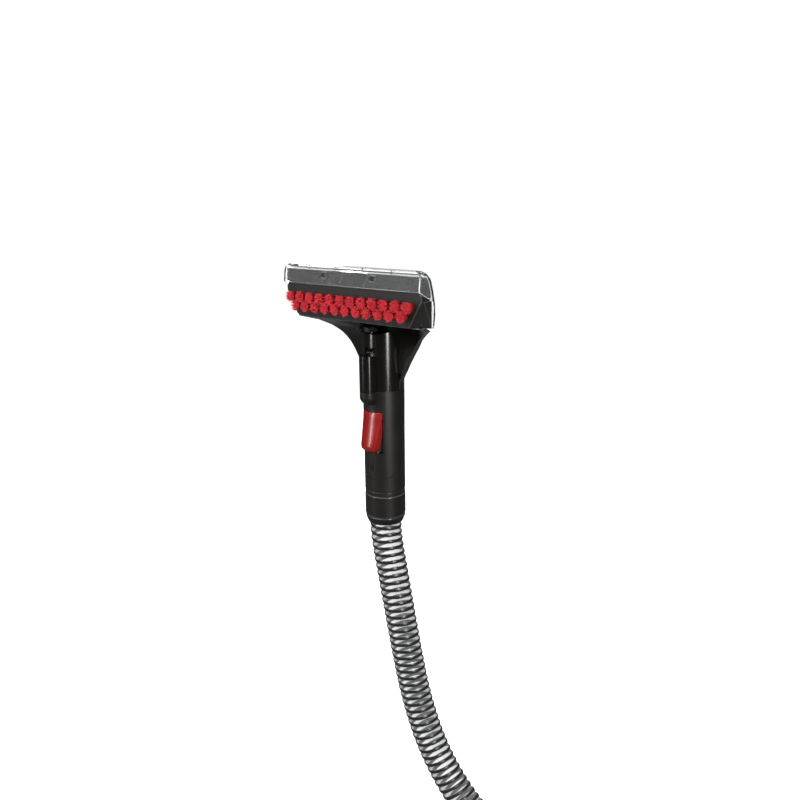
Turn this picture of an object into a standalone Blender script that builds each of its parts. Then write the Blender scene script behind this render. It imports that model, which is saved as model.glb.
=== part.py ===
"""Upholstery and stair hand tool of a carpet cleaning machine, on its trigger grip and hose.

+Z runs up the grip's axis, the brush and the trigger face -Y, and the origin is on the axis in
the middle of the grip. The grip is held by a hand, the head slides off it upwards, and the hose
hangs down and lies in a coil of two turns.
"""

import math

import bmesh
import bpy
from mathutils import Matrix, Vector

MM = 0.001
GAP = 0.3 * MM  # between pieces that touch
FAR = 60 * MM  # reach of a cutter past the piece it cuts

# Grip: two shells round an inner suction tube
GRIP_RADIUS = 18.6 * MM
GRIP_WALL = 2.4 * MM
GRIP_TOP = 47.0 * MM
GRIP_BOTTOM = -47.3 * MM
PANEL_EDGE_Y = 2.0 * MM  # the front shell's straight edges
PANEL_CORNER_Z = -8.0 * MM  # where those edges start to curve forwards
PANEL_DROP = 26.0 * MM
SCREW_Z = -24.0 * MM

# Trigger and valve
TRIGGER_WIDTH = 21.8 * MM
TRIGGER_TOP = 28.0 * MM
TRIGGER_PROUD = 6.4 * MM  # how far its foot stands out of the grip
TRIGGER_ARC = 33.4 * MM  # radius of its lower end about its pin
TRIGGER_CLEAR = 0.5 * MM
TRIGGER_DRAFT = 3.1 * MM  # how much narrower its foot is in front, on each side
TRIGGER_BAND, TRIGGER_BAND_DROP = 4.2 * MM, 1.3 * MM
PIN_Y, PIN_Z = -(GRIP_RADIUS - 5.6 * MM), TRIGGER_TOP - 4.0 * MM
PIN_RADIUS = 1.0 * MM
PIN_HALF_LENGTH = TRIGGER_WIDTH / 2 + 1.0 * MM
PIN_EYE_RADIUS = 2.6 * MM
VALVE_Y = -(GRIP_RADIUS - 9.7 * MM)
VALVE_RADIUS = 3.9 * MM
VALVE_LOW, VALVE_HIGH = 1.0 * MM, 19.5 * MM
BARB_LENGTH = 4.0 * MM
STEM_Z = 6.0 * MM
STEM_HEAD_Y = -(GRIP_RADIUS - 1.15 * MM)
STEM_RADIUS = 1.2 * MM
STEM_BORE = 1.6 * MM
STEM_LENGTH = 7.8 * MM
LINE_RADIUS = 1.9 * MM  # solution tube that comes up through the hose
PIPE_RADIUS = 1.5 * MM  # solution tube after the valve

# Suction tube and its spigot
SPIGOT_RADIUS = GRIP_RADIUS - GRIP_WALL - 1.8 * MM
SPIGOT_TOP = GRIP_TOP + 19.0 * MM
LATCH_BACK = -(GRIP_RADIUS - 4.6 * MM)  # the latch finger stands in front of a flat on the spigot
SPIGOT_FLAT = LATCH_BACK + 0.8 * MM
DUCT_HALF_WIDTH = SPIGOT_RADIUS - 0.8 * MM  # the tube is oval behind the valve
DUCT_DEPTH = 8.5 * MM
DUCT_Y = 4.0 * MM
DUCT_BOTTOM = -38.0 * MM
DUCT_WALL = 1.6 * MM
BULKHEAD_TOP, BULKHEAD_THICK = -34.0 * MM, 3.0 * MM

# Solution coupling and latch
BOSS_Y = -(GRIP_RADIUS + 2.3 * MM)
BOSS_RADIUS = 7.4 * MM
BOSS_LOW, BOSS_HIGH = GRIP_TOP - 12.5 * MM, GRIP_TOP + 32.3 * MM
BORE_RADIUS = 4.0 * MM
NIPPLE_LOW, NIPPLE_HIGH = GRIP_TOP - 5.0 * MM, GRIP_TOP + 13.0 * MM
NIPPLE_RADIUS = 2.1 * MM
LATCH_HALF_WIDTH = 3.5 * MM
LATCH_FRONT = LATCH_BACK - 1.6 * MM
LATCH_LOW, LATCH_HIGH = GRIP_TOP - 5.0 * MM, GRIP_TOP + 37.5 * MM
LATCH_WINDOW = (LATCH_HIGH - 4.3 * MM, LATCH_HIGH + 0.9 * MM)
LATCH_WINDOW_HALF = 5.6 * MM
HOOK_REACH = 2.4 * MM

# Collar and hose swivel
RING_HEIGHT = 3.6 * MM
COLLAR_RADIUS = GRIP_RADIUS + 0.1 * MM
COLLAR_LENGTH = 20.5 * MM
COLLAR_TOP = GRIP_BOTTOM - GAP - RING_HEIGHT - GAP
COLLAR_BOTTOM = COLLAR_TOP - COLLAR_LENGTH
HOSE_TOP = COLLAR_BOTTOM - 8.0 * MM
SLEEVE_RADIUS = GRIP_RADIUS - 3.4 * MM
SLEEVE_BORE = SLEEVE_RADIUS - 2.6 * MM
SLEEVE_TOP = GRIP_BOTTOM + 6.3 * MM
SWIVEL_FLANGE = 2.1 * MM

# Head: neck, funnel, nozzle base, clear nozzle, brush
NECK_RADIUS = GRIP_RADIUS - 0.1 * MM
NECK_WALL = 2.2 * MM
REBATE_RADIUS = GRIP_RADIUS - 0.7 * MM  # step in the head's lower rim, for the gasket
REBATE_DEPTH = 1.1 * MM
NECK_RIM_FRONT, NECK_RIM_SIDE = 97.3 * MM, 102.0 * MM  # its top slants up to the back
NECK_NOTCH_TOP = 100.3 * MM  # of the notch for it in the funnel's front wall
FUNNEL_TOP = 110.7 * MM
FUNNEL_WALL = 2.0 * MM
HEAD_WIDTH = 152.0 * MM
BASE_LOW, BASE_HIGH = 111.0 * MM, 151.9 * MM
BASE_FRONT = -39.0 * MM
BASE_INSET = 0.4 * MM  # of its end walls from the head's ends
PEG_X, PEG_Z, PEG_HALF = 27.2 * MM, 148.45 * MM, 2.1 * MM
CLEAR_WALL = 1.6 * MM
CLEAR_LOW, CLEAR_LIP = 110.9 * MM, 156.3 * MM
STRIP_LOW = 140.7 * MM
END_PLATE = 1.0 * MM  # thickness of the base's ends inside the clear nozzle
PLATE_THICK = 1.9 * MM
RIB_SPACING = 30.6 * MM
RIB_THICK = 1.2 * MM
TUFT_PITCH = 11.9 * MM
TUFT_REACH = 50.0 * MM  # tuft ends in front of the grip's axis
ROW_UPPER_Z, ROW_LOWER_Z = 128.6 * MM, 121.0 * MM
TUFTS_UPPER = int((HEAD_WIDTH - 20 * MM) / TUFT_PITCH) + 1
STRIP_HALF_HEIGHT = 2.3 * MM

# Hose
HOSE_RADIUS = 14.8 * MM
COIL_RADIUS = 190.0 * MM  # centre line of the outer turn where the hose reaches it
COIL_PITCH = 31.5 * MM
COIL_Z = -404.0 * MM  # centre line of the coil
CUFF_RADIUS = 18.0 * MM
CUFF_BORE = 14.0 * MM
CUFF_LENGTH = 78.0 * MM

# The hose's way down, by hand: it drifts to one side, then sweeps round onto the coil
HOSE_ROUTE = [
    (0.0, 0.0, -80.0),
    (0.7, 0.1, -94.5),
    (2.8, 0.3, -109.0),
    (5.8, 0.6, -125.0),
    (10.1, 1.1, -148.0),
    (14.7, 1.5, -172.0),
    (19.5, 2.0, -197.0),
    (24.5, 2.6, -222.0),
    (30.2, 3.2, -247.0),
    (37.6, 3.9, -271.5),
    (47.1, 4.9, -296.0),
    (59.7, 6.2, -319.5),
    (75.6, 7.9, -341.5),
    (95.0, 9.9, -361.0),
    (117.4, 12.3, -378.0),
    (142.2, 14.9, -391.5),
    (169.1, 17.7, -400.5),
    (196.9, 20.6, -404.0),
]

# Its other end leaves the coil's middle and climbs over the turns, as (turns, radius, height)
TAIL_ROUTE = [
    (2.001, 127.0, 0.0),
    (2.030, 126.8, 0.4),
    (2.060, 126.2, 3.4),
    (2.090, 125.6, 9.6),
    (2.120, 125.0, 17.6),
    (2.150, 124.6, 25.6),
    (2.180, 124.4, 31.8),
    (2.210, 124.4, 34.9),
    (2.240, 124.6, 35.6),
    (2.267, 125.0, 35.6),
    (2.298, 127.5, 35.6),
    (2.327, 134.6, 35.6),
]


# ---------------------------------------------------------------- helpers


def finish(name, color, roughness, metallic=0.0, alpha=1.0):
    """A plain Principled material."""
    made = bpy.data.materials.new(name)
    made.use_nodes = True
    shader = made.node_tree.nodes["Principled BSDF"]
    shader.inputs["Base Color"].default_value = (*color, 1.0)
    shader.inputs["Roughness"].default_value = roughness
    shader.inputs["Metallic"].default_value = metallic
    shader.inputs["Alpha"].default_value = alpha
    return made


def add_object(name, bm, material=None):
    """Turn a bmesh into a smooth shaded object with its faces pointing out."""
    bmesh.ops.remove_doubles(bm, verts=bm.verts, dist=1e-7)
    bmesh.ops.recalc_face_normals(bm, faces=bm.faces)
    mesh = bpy.data.meshes.new(name)
    bm.to_mesh(mesh)
    bm.free()
    mesh.shade_smooth()
    mesh.set_sharp_from_angle(angle=math.radians(35))
    made = bpy.data.objects.new(name, mesh)
    bpy.context.scene.collection.objects.link(made)
    if material:
        mesh.materials.append(material)
    return made


def turned(name, profile, material=None, steps=48, closed=True):
    """Spin a profile of (radius, height) points about the Z axis."""
    bm = bmesh.new()
    points = [bm.verts.new((radius, 0.0, height)) for radius, height in profile]
    edges = [bm.edges.new(pair) for pair in zip(points, points[1:])]
    if closed:
        edges.append(bm.edges.new((points[-1], points[0])))
    bmesh.ops.spin(bm, geom=points + edges, cent=(0, 0, 0), axis=(0, 0, 1), angle=2 * math.pi, steps=steps)
    return add_object(name, bm, material)


def ring_profile(outer, inner, high, low):
    """A tube's profile, down its outside and up its bore."""
    return [(outer, high), (outer, low), (inner, low), (inner, high)]


def skinned(name, rings, material=None, cyclic=False):
    """Join rings of points by quads. A cyclic run of rings is a tube's wall, else the ends are capped."""
    bm = bmesh.new()
    loops = [[bm.verts.new(point) for point in ring] for ring in rings]
    pairs = list(zip(loops, loops[1:])) + ([(loops[-1], loops[0])] if cyclic else [])
    for one, other in pairs:
        for i in range(len(one)):
            j = (i + 1) % len(one)
            bm.faces.new((one[i], one[j], other[j], other[i]))
    if not cyclic:
        bm.faces.new(loops[0])
        bm.faces.new(loops[-1])
    return add_object(name, bm, material)


def prism(name, outline, low, high, axis="X", material=None):
    """Extrude an outline along an axis. The outline is in (Y, Z) for X and in (X, Z) for Y."""
    place = {"X": lambda a, b, c: (c, a, b), "Y": lambda a, b, c: (a, c, b)}[axis]
    bm = bmesh.new()
    face = bm.faces.new([bm.verts.new(place(a, b, low)) for a, b in outline])
    side = bmesh.ops.extrude_face_region(bm, geom=[face])["geom"]
    shift = Vector(place(0, 0, high - low))
    bmesh.ops.translate(bm, verts=[v for v in side if isinstance(v, bmesh.types.BMVert)], vec=shift)
    return add_object(name, bm, material)


def block(name, low, high, material=None):
    """A box between two corners."""
    outline = [(low[1], low[2]), (high[1], low[2]), (high[1], high[2]), (low[1], high[2])]
    return prism(name, outline, low[0], high[0], "X", material)


def swept(name, points, radius, material=None, sides=10):
    """A round bar along a path of points, with flat ends."""
    path = [Vector(p) for p in points]
    rings = []
    normal = Vector((1, 0, 0))
    for i, point in enumerate(path):
        ahead = (path[min(i + 1, len(path) - 1)] - path[max(i - 1, 0)]).normalized()
        normal = (normal - ahead * normal.dot(ahead)).normalized()
        other = ahead.cross(normal)
        turns = [2 * math.pi * k / sides for k in range(sides)]
        rings.append([point + radius * (math.cos(t) * normal + math.sin(t) * other) for t in turns])
    return skinned(name, rings, material)


def smooth_path(route, leaving, arriving, steps=2):
    """Points along a Catmull-Rom curve through a route that leaves and arrives in given directions."""
    before = route[0] - leaving * (route[1] - route[0]).length
    after = route[-1] + arriving * (route[-1] - route[-2]).length
    ends = [before, *route, after]
    path = []
    for a, b, c, d in zip(ends, ends[1:], ends[2:], ends[3:]):
        for k in range(steps):
            t = k / steps
            path.append(
                0.5 * ((2 * b) + (c - a) * t + (2 * a - 5 * b + 4 * c - d) * t**2 + (3 * b - a - 3 * c + d) * t**3)
            )
    straight = 1.5 * MM  # keeps the end faces square
    path[1:1] = [route[0] + leaving * straight]
    return [*path, route[-1] - arriving * straight, route[-1]]


def boolean(target, other, operation, solver="EXACT"):
    """Add a Boolean modifier and hide the other object."""
    modifier = target.modifiers.new(f"{operation.lower()} {other.name}", "BOOLEAN")
    modifier.operation = operation
    modifier.object = other
    modifier.solver = solver
    other.hide_render = True
    other.display_type = "WIRE"


def cut(target, *others):
    for other in others:
        boolean(target, other, "DIFFERENCE")


def join(target, *others):
    for other in others:
        boolean(target, other, "UNION")


def keep(target, other):
    boolean(target, other, "INTERSECT")


def rounded(target, width, segments=2):
    """Round the sharp edges."""
    modifier = target.modifiers.new("rounded edges", "BEVEL")
    modifier.width = width
    modifier.segments = segments
    modifier.limit_method = "ANGLE"
    modifier.angle_limit = math.radians(50)


def cylinder_along(name, axis, radius, start, end, centre, steps=16):
    """A solid cylinder along X, Y or Z; centre holds its other two coordinates."""
    made = turned(name, [(0, end), (radius, end), (radius, start), (0, start)], None, steps, closed=False)
    turn = {"X": Matrix.Rotation(math.pi / 2, 4, "Y"), "Y": Matrix.Rotation(-math.pi / 2, 4, "X"), "Z": Matrix()}
    shift = {
        "X": (0, centre[0], centre[1]),
        "Y": (centre[0], 0, centre[1]),
        "Z": (centre[0], centre[1], 0),
    }
    made.data.transform(Matrix.Translation(shift[axis]) @ turn[axis])
    return made


def blend(table, height):
    """Read a value at a height from a table of (height, value) pairs."""
    for (z0, v0), (z1, v1) in zip(table, table[1:]):
        if height <= z1:
            share = max(0.0, (height - z0) / (z1 - z0))
            return v0 + (v1 - v0) * share
    return table[-1][1]


def power(value, exponent):
    """A signed power, for rounded rectangles."""
    return math.copysign(abs(value) ** exponent, value)


# ---------------------------------------------------------------- grip


def panel_outline(grow):
    """Side outline of the front shell: straight edges that curve forwards below the trigger."""
    depth = PANEL_EDGE_Y + GRIP_RADIUS + grow
    arc = [math.radians(a) for a in range(0, 91, 10)]
    curve = [
        (-GRIP_RADIUS + depth * math.cos(a), PANEL_CORNER_Z - (PANEL_DROP + grow) * math.sin(a)) for a in arc
    ]
    top = GRIP_TOP + FAR
    return [(-FAR, top), (PANEL_EDGE_Y + grow, top), *curve, (-FAR, curve[-1][1])]


def boss_outline(radius, reach_back):
    """Plan of the boss: a round front and straight sides that run back into the tube."""
    arc = [math.pi + math.pi * k / 12 for k in range(13)]
    front = [(radius * math.cos(a), BOSS_Y + radius * math.sin(a)) for a in arc]
    return [*front, (radius, reach_back), (-radius, reach_back)]


def boss_solid(name, low, high, dome, radius=BOSS_RADIUS):
    """The boss between two heights. With dome its lower end is rounded off."""
    back = -math.sqrt(GRIP_RADIUS**2 - radius**2) + 1.2 * MM
    levels = [(low, 1.0)]
    if dome:
        steps = [math.radians(a) for a in (10, 30, 50, 70, 90)]
        levels = [(low + radius * (1 - math.sin(a)), math.cos(a)) for a in reversed(steps)]
        levels = [(z, max(share, 0.12)) for z, share in levels] + [(low + radius, 1.0)]
        levels = sorted({round(z, 6): (z, share) for z, share in levels}.values())
    levels.append((high, 1.0))
    rings = []
    for z, share in levels:
        outline = boss_outline(radius, back)
        rings.append([(x * share, back + (y - back) * share, z) for x, y in outline])
    return skinned(name, rings)


def build_grip(plastic, rubber, steel, inner_plastic):
    wall = ring_profile(GRIP_RADIUS, GRIP_RADIUS - GRIP_WALL, GRIP_TOP, GRIP_BOTTOM)
    rear = turned("grip_rear_shell", wall, plastic)
    cut(rear, prism("rear_shell_cutter", panel_outline(GAP), -FAR, FAR))

    front = turned("grip_front_shell", wall, plastic)
    keep(front, prism("front_shell_keeper", panel_outline(0.0), -FAR, FAR))
    join(front, boss_solid("nub", BOSS_LOW, GRIP_TOP, dome=True))
    half = TRIGGER_WIDTH / 2 + TRIGGER_CLEAR
    foot = PIN_Z - TRIGGER_ARC - 0.6 * MM
    pin_reach = PIN_HALF_LENGTH + GAP
    cut(
        front,
        cylinder_along("nub_bore", "Z", BORE_RADIUS, NIPPLE_LOW - 3 * MM, FAR, (0, BOSS_Y)),
        block("trigger_opening", (-half, -FAR, foot), (half, PIN_Y + 5 * MM, TRIGGER_TOP + TRIGGER_CLEAR)),
        cylinder_along("pin_bore", "X", PIN_RADIUS + GAP, -pin_reach, pin_reach, (PIN_Y, PIN_Z)),
        cylinder_along("screw_bore", "Y", 1.5 * MM, -FAR, -10 * MM, (0, SCREW_Z)),
        cylinder_along("screw_recess", "Y", 3.1 * MM, -FAR, 1.5 * MM - GRIP_RADIUS, (0, SCREW_Z)),
    )
    passage = swept("outlet_passage", [outlet_path()[2], outlet_path()[-2]], PIPE_RADIUS + 1.3 * MM, sides=12)
    boolean(front, passage, "DIFFERENCE", "MANIFOLD")

    screw = turned(
        "grip_screw",
        [(0, 7.0), (2.8, 7.0), (2.8, 5.9), (1.2, 5.9), (1.2, 0.0), (0, 0.0)],
        steel,
        steps=16,
        closed=False,
    )
    foot_y = 7.1 * MM - GRIP_RADIUS
    screw.data.transform(
        Matrix.Translation((0, foot_y, SCREW_Z)) @ Matrix.Rotation(math.pi / 2, 4, "X") @ Matrix.Scale(MM, 4)
    )

    gasket_inner = GRIP_RADIUS - GRIP_WALL + 0.1 * MM
    gasket = ring_profile(REBATE_RADIUS - GAP, gasket_inner, GRIP_TOP + REBATE_DEPTH, GRIP_TOP + GAP)
    turned("seat_gasket", gasket, rubber)
    build_suction_tube(inner_plastic, rubber)


def duct_ring(z, half_width, half_depth, centre_y, flat, inset=0.0):
    """One oval section of the suction tube, with a flat on its front."""
    turns = [2 * math.pi * k / 40 for k in range(40)]
    return [
        (
            (half_width - inset) * math.cos(t),
            max(centre_y + (half_depth - inset) * math.sin(t), flat + inset),
            z,
        )
        for t in turns
    ]


def build_suction_tube(plastic, rubber):
    """Round at the spigot, oval behind the valve."""
    oval_top, round_low = GRIP_TOP - 16 * MM, GRIP_TOP - 3 * MM
    levels = [
        (SPIGOT_TOP, 0.0),
        (GRIP_TOP, 0.0),
        (round_low, 0.0),
        (0.5 * (oval_top + round_low), 0.5),
        (oval_top, 1.0),
        (DUCT_BOTTOM, 1.0),
    ]

    def section(z, oval, inset):
        width = SPIGOT_RADIUS + (DUCT_HALF_WIDTH - SPIGOT_RADIUS) * oval
        depth = SPIGOT_RADIUS + (DUCT_DEPTH - SPIGOT_RADIUS) * oval
        return duct_ring(z, width, depth, DUCT_Y * oval, SPIGOT_FLAT, inset)

    outside = [section(z, oval, 0.0) for z, oval in levels]
    inside = [section(z, oval, DUCT_WALL) for z, oval in reversed(levels)]
    skinned("suction_tube", outside + inside, plastic, cyclic=True)

    bulkhead = cylinder_along(
        "bulkhead",
        "Z",
        GRIP_RADIUS - GRIP_WALL - GAP,
        BULKHEAD_TOP - BULKHEAD_THICK,
        BULKHEAD_TOP,
        (0, 0),
        steps=40,
    )
    bulkhead.data.materials.append(plastic)
    far_ends = (BULKHEAD_TOP + 5 * MM, BULKHEAD_TOP - BULKHEAD_THICK - 5 * MM)
    hole = skinned(
        "duct_hole",
        [duct_ring(z, DUCT_HALF_WIDTH, DUCT_DEPTH, DUCT_Y, -FAR, -GAP) for z in far_ends],
    )
    cut(bulkhead, hole)
    cut(bulkhead, cylinder_along("line_hole", "Z", LINE_RADIUS + GAP, *far_ends[::-1], (0, VALVE_Y)))

    seal_low = GRIP_BOTTOM + 0.1 * MM + SWIVEL_FLANGE + GAP
    seal = ring_profile(GRIP_RADIUS - GRIP_WALL - GAP, SLEEVE_RADIUS - 0.5 * MM, seal_low + 2.6 * MM, seal_low)
    turned("swivel_seal", seal, rubber)


# ---------------------------------------------------------------- trigger and valve


def trigger_front(z):
    """How far forward the trigger's face stands at a height: flush at the top, proud at the foot."""
    share = (TRIGGER_TOP - z) / TRIGGER_ARC
    return -(GRIP_RADIUS + 0.2 * MM) - TRIGGER_PROUD * share**1.25


def trigger_face():
    """A block as round as the grip at the trigger's top, and with a flat front, a sloped band on
    each side of it and drafted flanks at its foot."""
    rings = []
    half = TRIGGER_WIDTH / 2
    low = PIN_Z - TRIGGER_ARC
    # how far the rounded chin draws back at heights above the foot
    chin = ((7.5, 0.0), (4.8, 0.5), (3.4, 1.3), (2.4, 2.4), (1.4, 3.9), (-0.6, 6.4))
    levels = [(z, 0.0) for z in (TRIGGER_TOP + 3 * MM, 22 * MM, 16 * MM, 9 * MM)]
    levels += [(low + up * MM, back * MM) for up, back in chin]
    for z, back in levels:
        share = min(max((TRIGGER_TOP - z) / TRIGGER_ARC, 0.0), 1.0)
        edge = half - TRIGGER_DRAFT * share - 0.45 * back
        front = []
        for x, flat in ((edge, TRIGGER_BAND_DROP), (edge - TRIGGER_BAND, 0.15 * MM), (0.0, 0.0)):
            drop = (1 - share) * (GRIP_RADIUS - math.sqrt(GRIP_RADIUS**2 - x**2)) + share * flat
            front.append((x, trigger_front(min(z, TRIGGER_TOP)) + drop + back, z))
        flank = [(half + 0.1 * MM, -14.2 * MM, z), (half + 0.3 * MM, 0.0, z)]
        side = [*reversed(flank), *front]
        rings.append([*side, *[(-x, y, z) for x, y, z in reversed(side[:-1])]])
    return skinned("trigger_face", rings)


def trigger_outline():
    """Side outline of the trigger: face, foot on an arc about the pin, inner face, pin eye."""
    low = PIN_Z - TRIGGER_ARC + 3.8 * MM
    face = [low + (TRIGGER_TOP - low) * share for share in (1.0, 0.83, 0.67, 0.47, 0.28, 0.11, 0.0)]
    outline = [(trigger_front(z) - 2 * MM, z) for z in face]
    for ahead in (7.4 * MM, 5.4 * MM, 3.4 * MM, 1.0 * MM):
        y = -GRIP_RADIUS - ahead
        outline.append((y, PIN_Z - math.sqrt(TRIGGER_ARC**2 - (y - PIN_Y) ** 2)))
    for depth, drop in ((0.2 * MM, 33.5 * MM), (3.3 * MM, 16 * MM), (3.8 * MM, 8 * MM)):
        outline.append((-GRIP_RADIUS + depth, PIN_Z - drop))
    for angle in (-140, -110, -80, -50, -20, 20, 60):
        turn = math.radians(angle)
        outline.append((PIN_Y + PIN_EYE_RADIUS * math.cos(turn), PIN_Z + PIN_EYE_RADIUS * math.sin(turn)))
    return outline + [(PIN_Y + 0.9 * MM, TRIGGER_TOP)]


def spring_path(turns, radius, start, end, steps=12):
    """Points of a spring about the Y axis through the stem."""
    count = turns * steps
    path = []
    for k in range(count + 1):
        t = 2 * math.pi * k / steps
        y = start + (end - start) * k / count
        path.append((radius * math.cos(t), y, STEM_Z + radius * math.sin(t)))
    return path


def build_trigger(red, plastic, steel):
    half = TRIGGER_WIDTH / 2
    trigger = prism("trigger", trigger_outline(), -half, half, material=red)
    keep(trigger, trigger_face())
    rounded(trigger, 0.7 * MM)
    cut(
        trigger,
        cylinder_along("eye_bore", "X", PIN_RADIUS + GAP, -FAR, FAR, (PIN_Y, PIN_Z)),
        block(
            "stem_pocket",
            (-4 * MM, STEM_HEAD_Y - 0.4 * MM, STEM_Z - 5 * MM),
            (4 * MM, PIN_Y, STEM_Z + 5 * MM),
        ),
    )
    pin = cylinder_along("trigger_pin", "X", PIN_RADIUS, -PIN_HALF_LENGTH, PIN_HALF_LENGTH, (PIN_Y, PIN_Z))
    pin.data.materials.append(steel)

    barb = PIPE_RADIUS - GAP
    profile = [
        (0, VALVE_HIGH + BARB_LENGTH),
        (barb, VALVE_HIGH + BARB_LENGTH),
        (barb, VALVE_HIGH),
        (VALVE_RADIUS, VALVE_HIGH),
        (VALVE_RADIUS, VALVE_LOW),
        (barb, VALVE_LOW),
        (barb, VALVE_LOW - BARB_LENGTH),
        (0, VALVE_LOW - BARB_LENGTH),
    ]
    valve = turned("valve_body", profile, plastic, steps=20, closed=False)
    valve.data.transform(Matrix.Translation((0, VALVE_Y, 0)))
    cut(valve, cylinder_along("stem_bore", "Y", STEM_BORE, -FAR, VALVE_Y + 2.4 * MM, (0, STEM_Z)))

    seat_y = STEM_HEAD_Y + 0.8 * MM
    stem = turned(
        "valve_stem",
        [
            (0, STEM_LENGTH),
            (STEM_RADIUS, STEM_LENGTH),
            (STEM_RADIUS, 0.8 * MM),
            (2.7 * MM, 0.8 * MM),
            (2.7 * MM, 0),
            (0, 0),
        ],
        steel,
        steps=16,
        closed=False,
    )
    stem.data.transform(
        Matrix.Translation((0, STEM_HEAD_Y, STEM_Z)) @ Matrix.Rotation(-math.pi / 2, 4, "X")
    )
    wire = 0.3 * MM
    start, end = seat_y + GAP + wire, VALVE_Y - VALVE_RADIUS - GAP - wire
    swept("trigger_spring", spring_path(2, 2.1 * MM, start, end), wire, steel, sides=6)


def outlet_path():
    """From the valve's top barb up and forwards into the nub."""
    low = VALVE_HIGH + BARB_LENGTH + GAP
    rise = NIPPLE_LOW - GAP - low
    forward = BOSS_Y - VALVE_Y
    way = [(0.0, 0.0), (0.0, 0.32), (0.12, 0.47), (0.32, 0.60), (0.58, 0.69), (0.82, 0.76), (0.96, 0.86)]
    return [(0, VALVE_Y + forward * a, low + rise * b) for a, b in way + [(1.0, 0.93), (1.0, 1.0)]]


def build_solution_line(tube, brass, rubber, plastic):
    """The solution's way: up through the hose to the valve, then up into the head."""
    inlet_top = VALVE_LOW - BARB_LENGTH - GAP
    line = cylinder_along("solution_inlet_tube", "Z", LINE_RADIUS, HOSE_TOP + 4 * MM, inlet_top, (0, VALVE_Y))
    line.data.materials.append(tube)
    swept("solution_outlet_tube", outlet_path(), PIPE_RADIUS, tube)
    nipple = turned(
        "solution_nipple",
        [
            (0, NIPPLE_HIGH),
            (NIPPLE_RADIUS - 0.5 * MM, NIPPLE_HIGH),
            (NIPPLE_RADIUS, NIPPLE_HIGH - 0.8 * MM),
            (NIPPLE_RADIUS, GRIP_TOP - 0.6 * MM),
            (BORE_RADIUS - GAP, GRIP_TOP - 0.6 * MM),
            (BORE_RADIUS - GAP, GRIP_TOP - 3.0 * MM),
            (NIPPLE_RADIUS, GRIP_TOP - 3.0 * MM),
            (NIPPLE_RADIUS, NIPPLE_LOW),
            (0, NIPPLE_LOW),
        ],
        brass,
        steps=20,
        closed=False,
    )
    nipple.data.transform(Matrix.Translation((0, BOSS_Y, 0)))
    seal = turned(
        "nipple_seal",
        ring_profile(BORE_RADIUS - GAP, NIPPLE_RADIUS + GAP, NIPPLE_HIGH - 3 * MM, NIPPLE_HIGH - 5 * MM),
        rubber,
        steps=20,
    )
    seal.data.transform(Matrix.Translation((0, BOSS_Y, 0)))

    finger = [
        (LATCH_BACK, LATCH_LOW),
        (LATCH_BACK, LATCH_HIGH),
        (LATCH_FRONT, LATCH_HIGH),
        (LATCH_FRONT - HOOK_REACH, LATCH_HIGH - 3.0 * MM),
        (LATCH_FRONT - HOOK_REACH, LATCH_HIGH - 3.6 * MM),
        (LATCH_FRONT, LATCH_HIGH - 3.6 * MM),
        (LATCH_FRONT, LATCH_LOW),
    ]
    prism("latch_finger", finger, -LATCH_HALF_WIDTH, LATCH_HALF_WIDTH, material=plastic)


# ---------------------------------------------------------------- head

# The funnel by height in mm: how far it has spread, its parting plane, its back, its squareness
FUNNEL_SPREAD = [
    (47.3, 0.0),
    (55, 0.004),
    (62.7, 0.086),
    (69.9, 0.15),
    (79.2, 0.26),
    (89.6, 0.41),
    (94, 0.485),
    (99.5, 0.62),
    (103, 0.745),
    (107, 0.895),
    (110.7, 1.0),
]
FUNNEL_PARTING = [(85, 0.0), (90, -1.5), (95, -4.0), (100, -8.0), (105, -15.0), (110.7, -33.5)]
FUNNEL_BACK = [(62, 18.5), (72, 17.2), (82, 14.0), (92, 8.0), (100, 1.0), (105, -7.0), (110.7, -25.8)]
FUNNEL_SQUARENESS = [(60, 2.0), (80, 3.0), (110.7, 5.0)]


def funnel_at(z):
    """Half width, parting plane, back and squareness at a height in metres."""
    spread, parting, back = (blend(t, z / MM) for t in (FUNNEL_SPREAD, FUNNEL_PARTING, FUNNEL_BACK))
    half = NECK_RADIUS + (HEAD_WIDTH / 2 - BASE_INSET - 4.6 * MM - NECK_RADIUS) * spread
    return half, parting * MM, back * MM, blend(FUNNEL_SQUARENESS, z / MM)


def parting_gap(z):
    """Half the gap at the parting plane along Y, wider where the plane leans."""
    ahead, behind = (blend(FUNNEL_PARTING, z / MM + d) for d in (1.5, -1.5))
    return GAP / 2 * (1 + abs(ahead - behind) / 2.4)


def sheet_solid(name, outer, inner, material):
    """Close two grids of points into one solid wall."""
    bm = bmesh.new()
    sides = [[[bm.verts.new(p) for p in row] for row in grid] for grid in (outer, inner)]
    rows, columns = len(outer), len(outer[0])
    for grid in sides:
        for i in range(rows - 1):
            for j in range(columns - 1):
                bm.faces.new((grid[i][j], grid[i][j + 1], grid[i + 1][j + 1], grid[i + 1][j]))
    a, b = sides
    for i in range(rows - 1):
        for j in (0, columns - 1):
            bm.faces.new((a[i][j], a[i + 1][j], b[i + 1][j], b[i][j]))
    for j in range(columns - 1):
        for i in (0, rows - 1):
            bm.faces.new((a[i][j], a[i][j + 1], b[i][j + 1], b[i][j]))
    return add_object(name, bm, material)


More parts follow.
